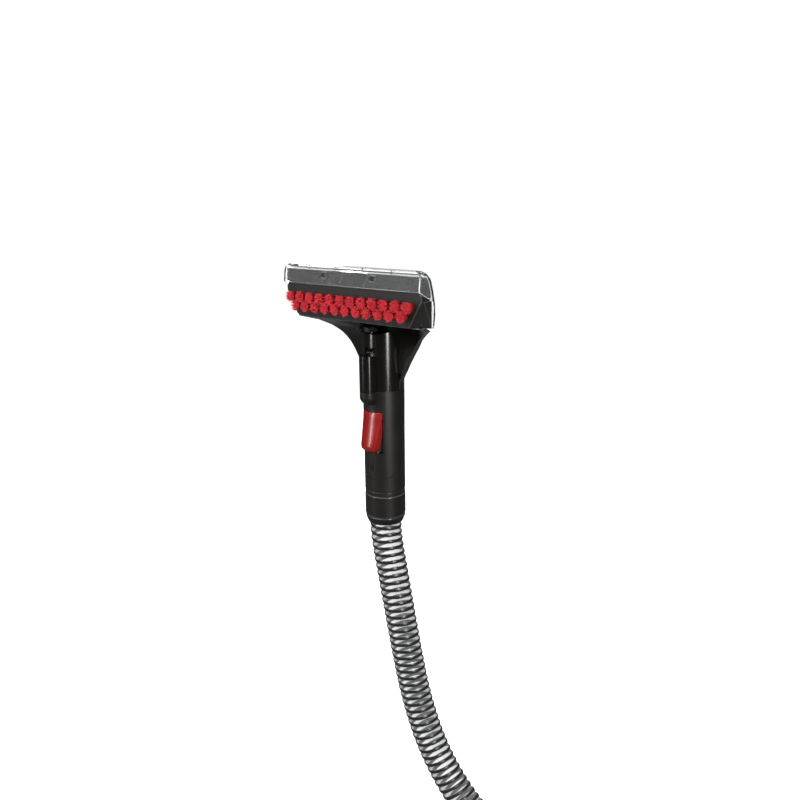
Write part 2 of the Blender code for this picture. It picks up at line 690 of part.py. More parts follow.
def build_funnel(plastic):
    low = GRIP_TOP + GAP
    heights = [low, 55 * MM, 59 * MM, 62.7 * MM, 66 * MM, 69.9 * MM, 74.4 * MM, 79.2 * MM, 85 * MM]
    heights += [90 * MM, 94 * MM, 97 * MM, 100 * MM, 103 * MM, 105 * MM, 108 * MM, FUNNEL_TOP]

    def scoop(z, inset):
        half, parting, back, square = funnel_at(z)
        edge = parting + parting_gap(z)
        turns = [math.pi * k / 24 for k in range(25)]
        depth = back - inset - edge
        return [
            (
                (half - inset) * power(math.cos(t), 2 / square),
                edge + depth * abs(math.sin(t)) ** (2 / square),
                z,
            )
            for t in turns
        ]

    outer = [scoop(z, 0.0) for z in heights]
    inner = [scoop(z, FUNNEL_WALL) for z in heights]
    rear = sheet_solid("funnel_rear_shell", outer, inner, plastic)
    rebate = cylinder_along("rear_rebate", "Z", REBATE_RADIUS, 0.0, GRIP_TOP + GAP + REBATE_DEPTH, (0, 0), steps=48)
    cut(rear, rebate)

    def front(z, thickness):
        half, parting, _, _ = funnel_at(z)
        steep = 1.0 + 0.9 * max(0.0, (z - 98 * MM) / (FUNNEL_TOP - 98 * MM))
        y = parting - parting_gap(z) - thickness * steep
        return [(half * (k / 10 - 1), y, z) for k in range(21)]

    wings = [z for z in heights if z > 60 * MM]
    wall = sheet_solid(
        "funnel_front_wall",
        [front(z, FUNNEL_WALL) for z in wings],
        [front(z, 0.0) for z in wings],
        plastic,
    )
    cut(
        wall,
        cylinder_along("neck_clearance", "Z", NECK_RADIUS + GAP, 0.0, NECK_NOTCH_TOP, (0, 0), steps=48),
    )


# The solution's way through the head: round the latch finger, then out through the neck's lid
HEAD_PIPE = [
    (0, BOSS_Y / MM, 63.5),
    (0.2, BOSS_Y / MM, 66.5),
    (2.4, -20.4, 69.4),
    (4.7, -18.4, 71.0),
    (6.1, -15.4, 72.8),
    (6.7, -12.6, 75.6),
    (6.2, -11.2, 84.0),
    (3.0, -12.8, 90.5),
    (0.5, -14.8, 95.0),
    (0, -15.2, 97.0),
    (0, -15.2, 100.2),
]


def build_neck(plastic):
    low = GRIP_TOP + GAP
    inner = NECK_RADIUS - NECK_WALL
    top = NECK_RIM_SIDE + 4 * MM
    neck = turned("neck_front_shell", ring_profile(NECK_RADIUS, inner, top, low), plastic)
    slope = (NECK_RIM_SIDE - NECK_RIM_FRONT) / NECK_RADIUS
    lid_back = -4.5 * MM  # behind this the funnel's back wall comes forward
    lid_high = NECK_RIM_SIDE + slope * lid_back
    half_side = [
        (-FAR, low - FAR),
        (-FAR, NECK_RIM_SIDE - slope * FAR),
        (lid_back, lid_high),
        (-GAP / 2, lid_high - 3.9 * MM),
        (-GAP / 2, low - FAR),
    ]
    keep(neck, prism("neck_half", half_side, -FAR, FAR))
    lid_low, lid_radius = 1.9 * MM, NECK_RADIUS - 0.6 * MM
    lid = cylinder_along("neck_lid", "Z", lid_radius, low, NECK_RIM_SIDE, (0, 0), steps=48)
    lid_side = [
        (-FAR, NECK_RIM_SIDE - slope * FAR - lid_low),
        (-FAR, NECK_RIM_SIDE - slope * FAR - 0.1 * MM),
        (lid_back, lid_high - 0.1 * MM),
        (lid_back + 1.7 * MM, lid_high - 1.5 * MM),
    ]
    keep(lid, prism("lid_slab", lid_side, -FAR, FAR))
    join(neck, lid)
    join(neck, boss_solid("boss", low, BOSS_HIGH, dome=False))
    pipe = [tuple(c * MM for c in point) for point in HEAD_PIPE]
    window_low, window_high = LATCH_WINDOW
    way_top = NECK_RIM_FRONT - 4 * MM
    cut(
        neck,
        cylinder_along("socket_bore", "Z", BORE_RADIUS, low - 5 * MM, NIPPLE_HIGH + 1.5 * MM, (0, BOSS_Y)),
        swept("pipe_bore", [(0, BOSS_Y, NIPPLE_HIGH), *pipe, (0, pipe[-1][1], FAR * 2)], PIPE_RADIUS + GAP),
        block(
            "latch_window",
            (-LATCH_WINDOW_HALF, -FAR, window_low),
            (LATCH_WINDOW_HALF, -10 * MM, window_high),
        ),
        cylinder_along("finger_way", "Z", inner, low - 5 * MM, way_top, (0, 0), steps=48),
        cylinder_along("front_rebate", "Z", REBATE_RADIUS, low - 5 * MM, low + REBATE_DEPTH, (0, 0), steps=48),
    )
    return pipe


def build_spray(plastic, tube, brass, pipe):
    """The tube through the head ends in a holder under the brush, which holds the spray tip."""
    swept("head_solution_tube", pipe, PIPE_RADIUS, tube)
    low, high, front = pipe[-1][2] + GAP, 105.0 * MM, -27.0 * MM
    side = [(front, low), (front, high), (-19.8 * MM, high), (-12.4 * MM, low)]
    holder = prism("spray_tip_holder", side, -7 * MM, 7 * MM, material=plastic)
    rounded(holder, 0.6 * MM)
    tip_profile = [(0, 3.4), (1.0, 3.4), (2.1, 2.0), (2.2, 0.0), (0, 0.0)]
    tip = turned("spray_tip", tip_profile, brass, steps=16, closed=False)
    tip.data.transform(
        Matrix.Translation((0, front - GAP, (low + high) / 2))
        @ Matrix.Rotation(math.pi / 2, 4, "X")
        @ Matrix.Scale(MM, 4)
    )


def cover_outline(inset):
    """Back outline of the clear nozzle, from its lip down to the funnel, as (Y, Z) points."""
    points = [
        (-35.6, 156.3),
        (-32.6, 153.2),
        (-29.4, 148.0),
        (-26.8, 140.0),
        (-24.6, 130.0),
        (-24.2, 121.0),
        (-25.2, 114.0),
        (-26.0, 110.9),
    ]
    outline = []
    for i, (y, z) in enumerate(points):
        before, after = points[max(i - 1, 0)], points[min(i + 1, len(points) - 1)]
        along = Vector((after[0] - before[0], after[1] - before[1])).normalized()
        outline.append((y * MM + inset * along.y, z * MM - inset * along.x))
    return outline


STRIP_FACE = [(-44.4 * MM, STRIP_LOW), (-42.9 * MM, 154.6 * MM), (-41.8 * MM, CLEAR_LIP)]


def build_clear_nozzle(clear):
    """Front strip, mouth with ribs, end walls and back cover, moulded in one piece."""
    half = HEAD_WIDTH / 2
    inner_cover = cover_outline(CLEAR_WALL)
    back_low = inner_cover[-1][0]
    wall_foot = [(-26.4 * MM, 128 * MM), (-27.9 * MM, 132.8 * MM), (-29.6 * MM, 133.6 * MM)]
    shell = [*STRIP_FACE, *cover_outline(0.0), (back_low, CLEAR_LOW), *wall_foot]
    nozzle = prism("clear_nozzle", shell, -half, half, material=clear)
    hollow_top = 152.4 * MM
    strip_inner = (STRIP_FACE[0][0] + CLEAR_WALL, STRIP_FACE[1][0] + CLEAR_WALL)
    inside = [point for point in inner_cover if point[1] < hollow_top]
    hollow = [
        (strip_inner[0], CLEAR_LOW - FAR),
        (strip_inner[0], STRIP_LOW),
        (strip_inner[1], hollow_top),
        (inside[0][0] - 2.4 * MM, hollow_top),
        *inside,
        (back_low, CLEAR_LOW - FAR),
    ]
    end = half - CLEAR_WALL
    cut(nozzle, prism("nozzle_hollow", hollow, -end, end))
    slot_low, slot_high = STRIP_FACE[1][0] + CLEAR_WALL, -37.1 * MM
    edges = [-end, *[RIB_SPACING * (k - 1.5) for k in range(4)], end]
    for k, (left, right) in enumerate(zip(edges, edges[1:])):
        left_rib = RIB_THICK / 2 if k else 0.0
        right_rib = RIB_THICK / 2 if k < 4 else 0.0
        low = (left + left_rib, slot_low, hollow_top - 3 * MM)
        high = (right - right_rib, slot_high, CLEAR_LIP + FAR)
        cut(nozzle, block(f"mouth_slot_{k}", low, high))
    corner = 6 * MM
    frame = [
        (-half, CLEAR_LOW - FAR),
        (-half, CLEAR_LIP - corner),
        (-half + corner * 0.3, CLEAR_LIP - corner * 0.3),
        (-half + corner, CLEAR_LIP + 0.1 * MM),
    ]
    frame += [(-x, z) for x, z in reversed(frame)]
    keep(nozzle, prism("nozzle_corners", frame, -FAR * 2, FAR * 2, "Y"))
    for side in (-1, 1):
        x, peg = side * PEG_X, PEG_HALF + 0.35 * MM
        cut(nozzle, block(f"peg_hole_{side + 1}", (x - peg, -FAR, PEG_Z - peg), (x + peg, -38.8 * MM, PEG_Z + peg)))
    return nozzle


def corner_cutter(name, side):
    """The wedge that slants the base's lower end back from the narrow foot of the brush plate."""
    half = HEAD_WIDTH / 2
    outer, foot, back = half - 0.6 * MM, half - 14.2 * MM, -28.4 * MM
    top = Vector((side * outer, BASE_FRONT, 134.0 * MM))
    front = Vector((side * foot, BASE_FRONT, BASE_LOW))
    rear = Vector((side * outer, back, BASE_LOW))
    normal = (front - top).cross(rear - top).normalized()
    if normal.x * side < 0:
        normal = -normal
    across = (front - top).normalized()
    up = normal.cross(across)
    middle = (top + front + rear) / 3
    reach = 60 * MM
    corners = [(-1, -1), (1, -1), (1, 1), (-1, 1)]
    near = [middle + across * a * reach + up * b * reach for a, b in corners]
    return skinned(name, [near, [p + normal * reach for p in near]])


def build_base(plastic):
    """Black wall behind the clear strip and the brush plate, with the duct's end walls."""
    half = HEAD_WIDTH / 2 - CLEAR_WALL - GAP
    wall = [
        (BASE_FRONT, BASE_LOW),
        (BASE_FRONT, STRIP_LOW - 0.5 * MM),
        (-42.3 * MM, STRIP_LOW + 0.5 * MM),
        (-41.0 * MM, BASE_HIGH),
        (-38.8 * MM, BASE_HIGH),
        (-37.4 * MM, 146 * MM),
        (-34.0 * MM, 138 * MM),
        (-32.6 * MM, 132 * MM),
        (-34.6 * MM, 125 * MM),
        (-34.6 * MM, BASE_LOW),
    ]
    base = prism("nozzle_base", wall, -half, half, material=plastic)
    for side in (-1, 1):
        outer = HEAD_WIDTH / 2 - BASE_INSET
        ends = sorted((side * (outer - 5.6 * MM), side * outer))
        low = (ends[0], BASE_FRONT, BASE_LOW)
        high = (ends[1], -28.4 * MM, 132.6 * MM)
        join(base, block(f"end_wall_{side + 1}", low, high))
    rear = [(y - 0.5 * MM, z) for y, z in cover_outline(CLEAR_WALL) if 131 * MM < z < 149 * MM]
    plate = [(-38.0 * MM, 131 * MM), (-38.6 * MM, 150.6 * MM), (-33.6 * MM, 150.6 * MM), *rear, (-28.8 * MM, 131 * MM)]
    for side in (-1, 1):
        ends = sorted((side * half, side * (half - END_PLATE)))
        join(base, prism(f"end_plate_{side + 1}", plate, *ends))
    for side in (-1, 1):
        cut(base, corner_cutter(f"corner_cutter_{side + 1}", side))
        low = (side * PEG_X - PEG_HALF, STRIP_FACE[0][0], PEG_Z - PEG_HALF)
        join(base, block(f"peg_{side + 1}", low, (side * PEG_X + PEG_HALF, -40.0 * MM, PEG_Z + PEG_HALF)))


# The brush plate's edge in mm: in from the head's end, and height
PLATE_EDGE = [(1.9, 140.0), (1.9, 137.9), (0.6, 137.6), (0.8, 133.0), (11.8, 113.6), (14.4, 111.4)]


def tuft_row(name, count, z, material):
    """A backing strip whose front face is drawn out into tufts."""
    half = (count - 1) / 2 * TUFT_PITCH + 3.2 * MM
    back, front = BASE_FRONT - GAP, BASE_FRONT - GAP - PLATE_THICK
    row = block(name, (-half, front, z - STRIP_HALF_HEIGHT), (half, back, z + STRIP_HALF_HEIGHT), material)
    root, tip = 1.9 * MM, 3.7 * MM
    for k in range(count):
        x = (k - (count - 1) / 2) * TUFT_PITCH
        rings = []
        for y, radius in ((front + 0.8 * MM, root), (-TUFT_REACH + 1.2 * MM, tip), (-TUFT_REACH, tip * 0.8)):
            turns = [2 * math.pi * (n + 0.5) / 8 for n in range(8)]
            rings.append([(x + radius * math.cos(t), y, z + radius * 0.98 * math.sin(t)) for t in turns])
        join(row, skinned(f"{name}_tuft_{k}", rings))
    return half


def build_brush(plastic, bristle):
    outline = [(HEAD_WIDTH / 2 - inset * MM, z * MM) for inset, z in PLATE_EDGE]
    outline += [(-x, z) for x, z in reversed(outline)]
    back, front = BASE_FRONT - GAP, BASE_FRONT - GAP - PLATE_THICK
    plate = prism("brush_plate", outline, front, back, "Y", plastic)
    for name, count, z in (
        ("bristle_row_upper", TUFTS_UPPER, ROW_UPPER_Z),
        ("bristle_row_lower", TUFTS_UPPER - 1, ROW_LOWER_Z),
    ):
        half = tuft_row(name, count, z, bristle)
        height = STRIP_HALF_HEIGHT + GAP
        cut(plate, block(f"{name}_slot", (-half - GAP, -FAR, z - height), (half + GAP, 0, z + height)))


# ---------------------------------------------------------------- collar and hose


def build_collar(plastic, matte, inner_plastic):
    ring_top = GRIP_BOTTOM - GAP
    ring = ring_profile(GRIP_RADIUS - 0.3 * MM, SLEEVE_RADIUS + GAP, ring_top, ring_top - RING_HEIGHT)
    turned("retaining_ring", ring, matte)
    bore = SLEEVE_RADIUS + GAP
    turned(
        "hose_collar",
        [
            (COLLAR_RADIUS - 0.4 * MM, COLLAR_TOP),
            (COLLAR_RADIUS, COLLAR_TOP - 0.5 * MM),
            (COLLAR_RADIUS, COLLAR_BOTTOM + 0.7 * MM),
            (COLLAR_RADIUS - 0.5 * MM, COLLAR_BOTTOM),
            (bore, COLLAR_BOTTOM),
            (bore, COLLAR_TOP),
        ],
        plastic,
    )
    low = HOSE_TOP + GAP
    turned(
        "collar_end_ring",
        [
            (COLLAR_RADIUS - 1.0 * MM, COLLAR_BOTTOM - GAP),
            (COLLAR_RADIUS - 0.4 * MM, COLLAR_BOTTOM - 1.0 * MM),
            (COLLAR_RADIUS - 0.5 * MM, COLLAR_BOTTOM - 2.6 * MM),
            (COLLAR_RADIUS - 2.4 * MM, low),
            (bore, low),
            (bore, COLLAR_BOTTOM - GAP),
        ],
        plastic,
    )
    neck = SLEEVE_RADIUS - 0.8 * MM
    flange_low = GRIP_BOTTOM + 0.1 * MM
    flange_top = flange_low + SWIVEL_FLANGE
    flange = GRIP_RADIUS - GRIP_WALL - GAP
    turned(
        "swivel_sleeve",
        [
            (neck, SLEEVE_TOP),
            (neck, flange_top),
            (flange, flange_top),
            (flange, flange_low),
            (SLEEVE_RADIUS, flange_low),
            (SLEEVE_RADIUS, low),
            (SLEEVE_BORE, low),
            (SLEEVE_BORE, SLEEVE_TOP),
        ],
        inner_plastic,
    )


def hose_route():
    """The hose's centre line down to where the coil starts, and its direction there."""
    route = [Vector(point) * MM for point in HOSE_ROUTE]
    ahead = route[-1] - route[-2]
    ahead.z = 0.0
    return route, ahead.normalized()


def coil_frame():
    """Centre of the coil and the angle at which the hose joins it. It winds clockwise from above."""
    route, ahead = hose_route()
    inward = Vector((ahead.y, -ahead.x, 0.0))
    return route[-1] + inward * COIL_RADIUS, math.atan2(-inward.y, -inward.x)


def around_coil(turn, radius, height):
    """A point at a radius and height after a number of turns of the winding."""
    centre, start = coil_frame()
    angle = start - 2 * math.pi * turn
    return Vector((centre.x + radius * math.cos(angle), centre.y + radius * math.sin(angle), centre.z + height))


def coil_point(turn, offset, height):
    """A point beside the winding's centre line, moved outwards and up."""
    return around_coil(turn, COIL_RADIUS - COIL_PITCH * turn + offset, height)


def hose_tube(name, path, material):
    """A round tube on a poly curve with filled ends."""
    curve = bpy.data.curves.new(name, "CURVE")
    curve.dimensions = "3D"
    curve.bevel_depth = HOSE_RADIUS
    curve.bevel_resolution = 4
    curve.use_fill_caps = True
    spline = curve.splines.new("POLY")
    spline.points.add(len(path) - 1)
    for point, place in zip(spline.points, path):
        point.co = (*place, 1.0)
    curve.materials.append(material)
    bpy.context.scene.collection.objects.link(bpy.data.objects.new(name, curve))


def tail_route():
    """The hose's way from the coil's middle up over the turns, and its directions at both ends."""
    route = [around_coil(turn, radius * MM, height * MM) for turn, radius, height in TAIL_ROUTE]
    leaving = (around_coil(2.01, COIL_RADIUS, 0) - around_coil(2.0, COIL_RADIUS, 0)).normalized()
    return route, leaving, Vector((0, -1, 0))


def build_hose(hose, strap, plastic, rubber, brass):
    route, ahead = hose_route()
    hose_tube("suction_hose", smooth_path(route, Vector((0, 0, -1)), ahead), hose)
    tail, leaving, arriving = tail_route()
    hose_tube("hose_tail", smooth_path(tail, leaving, arriving), hose)

    # two turns side by side are one band, which starts at the hose's end
    outer, inner = HOSE_RADIUS, -COIL_PITCH - HOSE_RADIUS
    chamfer = HOSE_RADIUS * 0.45
    section = [
        (outer, -HOSE_RADIUS + chamfer),
        (outer, HOSE_RADIUS - chamfer),
        (outer - chamfer, HOSE_RADIUS),
        (inner + chamfer, HOSE_RADIUS),
        (inner, HOSE_RADIUS - chamfer),
        (inner, -HOSE_RADIUS + chamfer),
        (inner + chamfer, -HOSE_RADIUS),
        (outer - chamfer, -HOSE_RADIUS),
    ]
    first = (GAP + 0.1 * MM) / (2 * math.pi * COIL_RADIUS)
    last = 1.0 - first
    shares = [first + (last - first) * k / 60 for k in range(61)]
    skinned("hose_coil", [[coil_point(s, a, b) for a, b in section] for s in shares], hose)

    # the tie strap goes round both turns
    share, clear, thick, wide = 0.62, 0.5 * MM, 1.2 * MM, 7 * MM
    low, high = -HOSE_RADIUS - clear, HOSE_RADIUS + clear
    near, far = outer + clear, inner - clear
    inside = [(near, low), (near, high), (far, high), (far, low)]
    grown = [(near + thick, low - thick), (near + thick, high + thick), (far - thick, high + thick)]
    grown.append((far - thick, low - thick))
    turn_step = wide / (2 * math.pi * COIL_RADIUS)
    rings = []
    for outline, step in ((inside, -turn_step), (grown, -turn_step), (grown, turn_step), (inside, turn_step)):
        rings.append([coil_point(share + step, a, b) for a, b in outline])
    skinned("coil_strap", rings, strap, cyclic=True)
    build_cuff(plastic, rubber, brass, tail[-1] + arriving * GAP, arriving)


def build_cuff(plastic, rubber, brass, start, ahead):
    """The hose's machine end, which lies across the top of the coil."""
    place = Matrix.Translation(start) @ ahead.to_track_quat("Z", "Y").to_matrix().to_4x4()
    cuff = turned(
        "machine_cuff",
        [
            (CUFF_RADIUS - 1.5 * MM, CUFF_LENGTH),
            (CUFF_RADIUS, CUFF_LENGTH - 1.5 * MM),
            (CUFF_RADIUS, 12 * MM),
            (CUFF_RADIUS - 2 * MM, 0),
            (CUFF_BORE, 0),
            (CUFF_BORE, CUFF_LENGTH),
        ],
        plastic,
        steps=40,
    )
    sleeve = turned(
        "cuff_grip_sleeve",
        ring_profile(CUFF_RADIUS + 2.3 * MM, CUFF_RADIUS + GAP, CUFF_LENGTH * 0.62, CUFF_LENGTH * 0.28),
        rubber,
        steps=40,
    )
    plug = turned(
        "solution_plug",
        [
            (0, 30 * MM),
            (2.2 * MM, 30 * MM),
            (2.2 * MM, 22 * MM),
            (4.6 * MM, 20 * MM),
            (4.6 * MM, 4 * MM),
            (3.2 * MM, 0),
            (0, 0),
        ],
        brass,
        steps=20,
        closed=False,
    )
    plug.data.transform(Matrix.Translation((0, CUFF_RADIUS + 4.6 * MM + GAP, CUFF_LENGTH * 0.64)))
    for piece in (cuff, sleeve, plug):
        piece.data.transform(place)


def main():
    for old in list(bpy.data.objects):
        bpy.data.objects.remove(old)
    gloss_black = finish("gloss black plastic", (0.012, 0.011, 0.010), 0.25)
    matte_black = finish("matte black plastic", (0.018, 0.017, 0.016), 0.5)
    inner_plastic = finish("grey inner plastic", (0.25, 0.25, 0.26), 0.5)
    clear = finish("clear plastic", (0.8, 0.82, 0.84), 0.08, alpha=0.35)
    red = finish("red plastic", (0.35, 0.02, 0.02), 0.3)
    bristle = finish("red nylon bristle", (0.75, 0.03, 0.05), 0.5)
    hose = finish("grey hose plastic", (0.3, 0.3, 0.31), 0.4)
    rubber = finish("black rubber", (0.02, 0.02, 0.02), 0.7)
    steel = finish("zinc plated steel", (0.6, 0.6, 0.62), 0.35, metallic=1.0)
    brass = finish("brass", (0.7, 0.5, 0.2), 0.3, metallic=1.0)
    tube = finish("clear vinyl tube", (0.7, 0.72, 0.74), 0.2)
    build_grip(matte_black, rubber, steel, inner_plastic)
    build_trigger(red, inner_plastic, steel)
    build_solution_line(tube, brass, rubber, gloss_black)
    build_spray(gloss_black, tube, brass, build_neck(gloss_black))
    build_funnel(gloss_black)
    build_base(matte_black)
    build_clear_nozzle(clear)
    build_brush(matte_black, bristle)
    build_collar(matte_black, matte_black, inner_plastic)
    build_hose(hose, rubber, matte_black, rubber, brass)


main()
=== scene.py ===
"""Looks of an upholstery hand tool: a trigger grip, a clear nozzle, a red brush and a coiled hose."""

import logging
import math
from dataclasses import dataclass, field
from enum import Enum

import bmesh
import bpy
import numpy as np
from mathutils import Matrix, Vector


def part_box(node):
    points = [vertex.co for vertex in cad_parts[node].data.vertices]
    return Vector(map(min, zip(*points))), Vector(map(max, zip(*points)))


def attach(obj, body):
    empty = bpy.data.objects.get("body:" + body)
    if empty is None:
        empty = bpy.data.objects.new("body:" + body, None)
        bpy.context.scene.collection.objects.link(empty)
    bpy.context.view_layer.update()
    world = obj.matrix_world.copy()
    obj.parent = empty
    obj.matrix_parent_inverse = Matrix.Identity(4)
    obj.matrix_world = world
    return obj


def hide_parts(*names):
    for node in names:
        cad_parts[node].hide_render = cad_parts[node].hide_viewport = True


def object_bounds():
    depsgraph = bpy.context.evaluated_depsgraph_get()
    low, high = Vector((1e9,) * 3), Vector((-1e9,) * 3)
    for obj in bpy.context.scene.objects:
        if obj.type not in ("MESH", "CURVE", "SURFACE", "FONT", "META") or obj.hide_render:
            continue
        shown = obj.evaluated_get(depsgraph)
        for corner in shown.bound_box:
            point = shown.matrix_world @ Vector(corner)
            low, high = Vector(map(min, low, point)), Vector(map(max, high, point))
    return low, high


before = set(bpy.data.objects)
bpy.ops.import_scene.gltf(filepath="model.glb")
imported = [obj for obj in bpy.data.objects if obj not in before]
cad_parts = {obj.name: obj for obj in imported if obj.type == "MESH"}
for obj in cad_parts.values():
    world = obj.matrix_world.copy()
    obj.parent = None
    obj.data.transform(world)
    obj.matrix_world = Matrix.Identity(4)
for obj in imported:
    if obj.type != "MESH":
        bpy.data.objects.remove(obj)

MM = 0.001
CAD_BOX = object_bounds()
log = logging.getLogger("hand_tool")

# points of a CAD node closer than this are one point
MERGE_DISTANCE = 0.002 * MM
# faces that turn less than this are one flat face
FLAT_ANGLE = math.radians(1.0)
# edges that turn more than this are seen as edges, and are the ones that get rounded
SHARP_ANGLE = math.radians(32)


# ---------------------------------------------------------------- colours and nodes


def linear(code: str) -> tuple[float, float, float, float]:
    """Turn an sRGB hex colour into a linear one.

    Args:
        code: six hex digits, with or without a leading #.

    Returns:
        Red, green, blue and alpha 1, linear.
    """
    digits = code.lstrip("#")
    channels = [int(digits[i : i + 2], 16) / 255 for i in (0, 2, 4)]
    curved = [c / 12.92 if c <= 0.04045 else ((c + 0.055) / 1.055) ** 2.4 for c in channels]
    return (*curved, 1.0)


def node(
    tree: bpy.types.NodeTree, kind: str, settings: dict | None = None, links: dict | None = None
) -> bpy.types.Node:
    """Add a node, set its properties and input values, and link its inputs.

    Args:
        tree: the node tree.
        kind: the node's type name without the ShaderNode prefix.
        settings: property names, or input names or numbers, with their values.
        links: input names or numbers with the output socket that feeds each.

    Returns:
        The new node.
    """
    made = tree.nodes.new(f"ShaderNode{kind}")
    for key, value in (settings or {}).items():
        if isinstance(key, str) and hasattr(made, key):
            setattr(made, key, value)
        else:
            made.inputs[key].default_value = value
    for key, socket in (links or {}).items():
        tree.links.new(socket, made.inputs[key])
    return made


def start_material(name: str) -> tuple[bpy.types.Material, bpy.types.NodeTree, bpy.types.Node]:
    """Make a material that holds a Principled shader only.

    Args:
        name: the material's name.

    Returns:
        The material, its node tree and its Principled node.
    """
    material = bpy.data.materials.new(name)
    material.use_nodes = True
    tree = material.node_tree
    return material, tree, tree.nodes["Principled BSDF"]


# ---------------------------------------------------------------- finishes


@dataclass(frozen=True)
class Moulding:
    """Moulded plastic or rubber: an even colour, faint flow mottling and the fine grain of the mould."""

    name: str
    color: str
    worn: str
    roughness: float
    spread: float = 0.08
    grain_mm: float = 0.6
    grain_depth_mm: float = 0.02
    ior: float = 1.53
    specular: float = 0.5
    flow_mm: float = 14.0

    def build(self) -> bpy.types.Material:
        """Make the material.

        Returns:
            A Principled material whose pattern reads Object coordinates.
        """
        material, tree, shader = start_material(self.name)
        place = node(tree, "TexCoord")
        flow = node(
            tree,
            "TexNoise",
            {"Scale": 1 / (self.flow_mm * MM), "Detail": 3.0, "Roughness": 0.6},
            {"Vector": place.outputs["Object"]},
        )
        grain = node(
            tree,
            "TexNoise",
            {"Scale": 1 / (self.grain_mm * MM), "Detail": 2.0},
            {"Vector": place.outputs["Object"]},
        )
        tint = node(
            tree,
            "Mix",
            {"data_type": "RGBA", 6: linear(self.color), 7: linear(self.worn)},
            {0: flow.outputs["Fac"]},
        )
        rough = node(
            tree,
            "MapRange",
            {"To Min": max(0.03, self.roughness - self.spread), "To Max": self.roughness + self.spread},
            {"Value": flow.outputs["Fac"]},
        )
        bump = node(
            tree,
            "Bump",
            {"Strength": 0.5, "Distance": self.grain_depth_mm * MM},
            {"Height": grain.outputs["Fac"]},
        )
        tree.links.new(tint.outputs[2], shader.inputs["Base Color"])
        tree.links.new(rough.outputs["Result"], shader.inputs["Roughness"])
        tree.links.new(bump.outputs["Normal"], shader.inputs["Normal"])
        shader.inputs["IOR"].default_value = self.ior
        shader.inputs["Specular IOR Level"].default_value = self.specular
        return material


@dataclass(frozen=True)
class ClearMoulding:
    """Clear moulded plastic: it shows what is behind it, dulled by a thin haze and by hard water."""

    name: str
    color: str = "eef0f1"
    haze: float = 0.015
    roughness: float = 0.03
    ior: float = 1.49
    water_mm: float = 9.0

    def build(self) -> bpy.types.Material:
        """Make the material.

        Returns:
            A see-through Principled material with a faint milky share.
        """
        material, tree, shader = start_material(self.name)
        place = node(tree, "TexCoord")
        water = node(
            tree,
            "TexNoise",
            {"Scale": 1 / (self.water_mm * MM), "Detail": 4.0, "Roughness": 0.65},
            {"Vector": place.outputs["Object"]},
        )
        through = node(
            tree,
            "MapRange",
            {
                "From Min": 0.3,
                "From Max": 0.7,
                "To Min": 1 - self.haze * 1.1,
                "To Max": 1 - self.haze * 0.9,
            },
            {"Value": water.outputs["Fac"]},
        )
        rough = node(
            tree,
            "MapRange",
            {"To Min": self.roughness * 0.9, "To Max": self.roughness * 1.1},
            {"Value": water.outputs["Fac"]},
        )
        tree.links.new(through.outputs["Result"], shader.inputs["Transmission Weight"])
        tree.links.new(rough.outputs["Result"], shader.inputs["Roughness"])
        shader.inputs["Base Color"].default_value = linear(self.color)
        shader.inputs["IOR"].default_value = self.ior
        return material


@dataclass(frozen=True)
class BristleNylon:
    """Drawn nylon filament: darker red towards the roots as painted shade deep in the tuft, paler at the cut,
    feathered ends.
    """

    name: str = "nylon filament, drawn"
    root: str = "8c0008"
    tip: str = "e23340"
    roughness: float = 0.5

    def build(self) -> bpy.types.Material:
        """Make the material.

        Returns:
            A material whose colour follows the piece's own attribute from root to tip.
        """
        material, tree, shader = start_material(self.name)
        along = node(tree, "Attribute", {"attribute_name": "along"})
        # the colour darkens towards the roots: painted shade deep in the tuft
        color = node(
            tree,
            "Mix",
            {"data_type": "RGBA", 6: linear(self.root), 7: linear(self.tip)},
            {0: along.outputs["Fac"]},
        )
        tree.links.new(color.outputs[2], shader.inputs["Base Color"])
        shader.inputs["Roughness"].default_value = self.roughness
        return material


@dataclass(frozen=True)
class RibbedHose:
    """Blown vinyl hose: a thin milky wall between dark hard ribs, a little glossy."""

    name: str = "vinyl hose, wound over a rib"
    wall: str = "858688"
    rib: str = "1f1f20"
    wall_alpha: float = 0.34
    rib_share: float = 0.36
    rib_blur: float = 0.12
    roughness: float = 0.28

    def build(self) -> bpy.types.Material:
        """Make the material.

        Returns:
            A material that reads the rib's phase, 0 to 1 along one pitch, from an attribute.
        """
        material, tree, shader = start_material(self.name)
        phase = node(tree, "Attribute", {"attribute_name": "rib"})
        soft = node(
            tree,
            "MapRange",
            {
                "interpolation_type": "SMOOTHSTEP",
                "From Min": 1 - self.rib_share - self.rib_blur,
                "From Max": 1 - self.rib_share + self.rib_blur,
            },
            {"Value": phase.outputs["Fac"]},
        )
        color = node(
            tree,
            "Mix",
            {"data_type": "RGBA", 6: linear(self.wall), 7: linear(self.rib)},
            {0: soft.outputs["Result"]},
        )
        rim = node(tree, "LayerWeight", {"Blend": 0.32})
        # a thin clear wall hides more of what is behind it where it is seen at a slant
        wall = node(
            tree,
            "MapRange",
            {"From Max": 0.8, "To Min": self.wall_alpha, "To Max": 0.9},
            {"Value": rim.outputs["Facing"]},
        )
        alpha = node(
            tree,
            "Mix",
            {"data_type": "FLOAT", 3: 1.0},
            {0: soft.outputs["Result"], 2: wall.outputs["Result"]},
        )
        tree.links.new(color.outputs[2], shader.inputs["Base Color"])
        tree.links.new(alpha.outputs[0], shader.inputs["Alpha"])
        shader.inputs["Roughness"].default_value = self.roughness
        return material


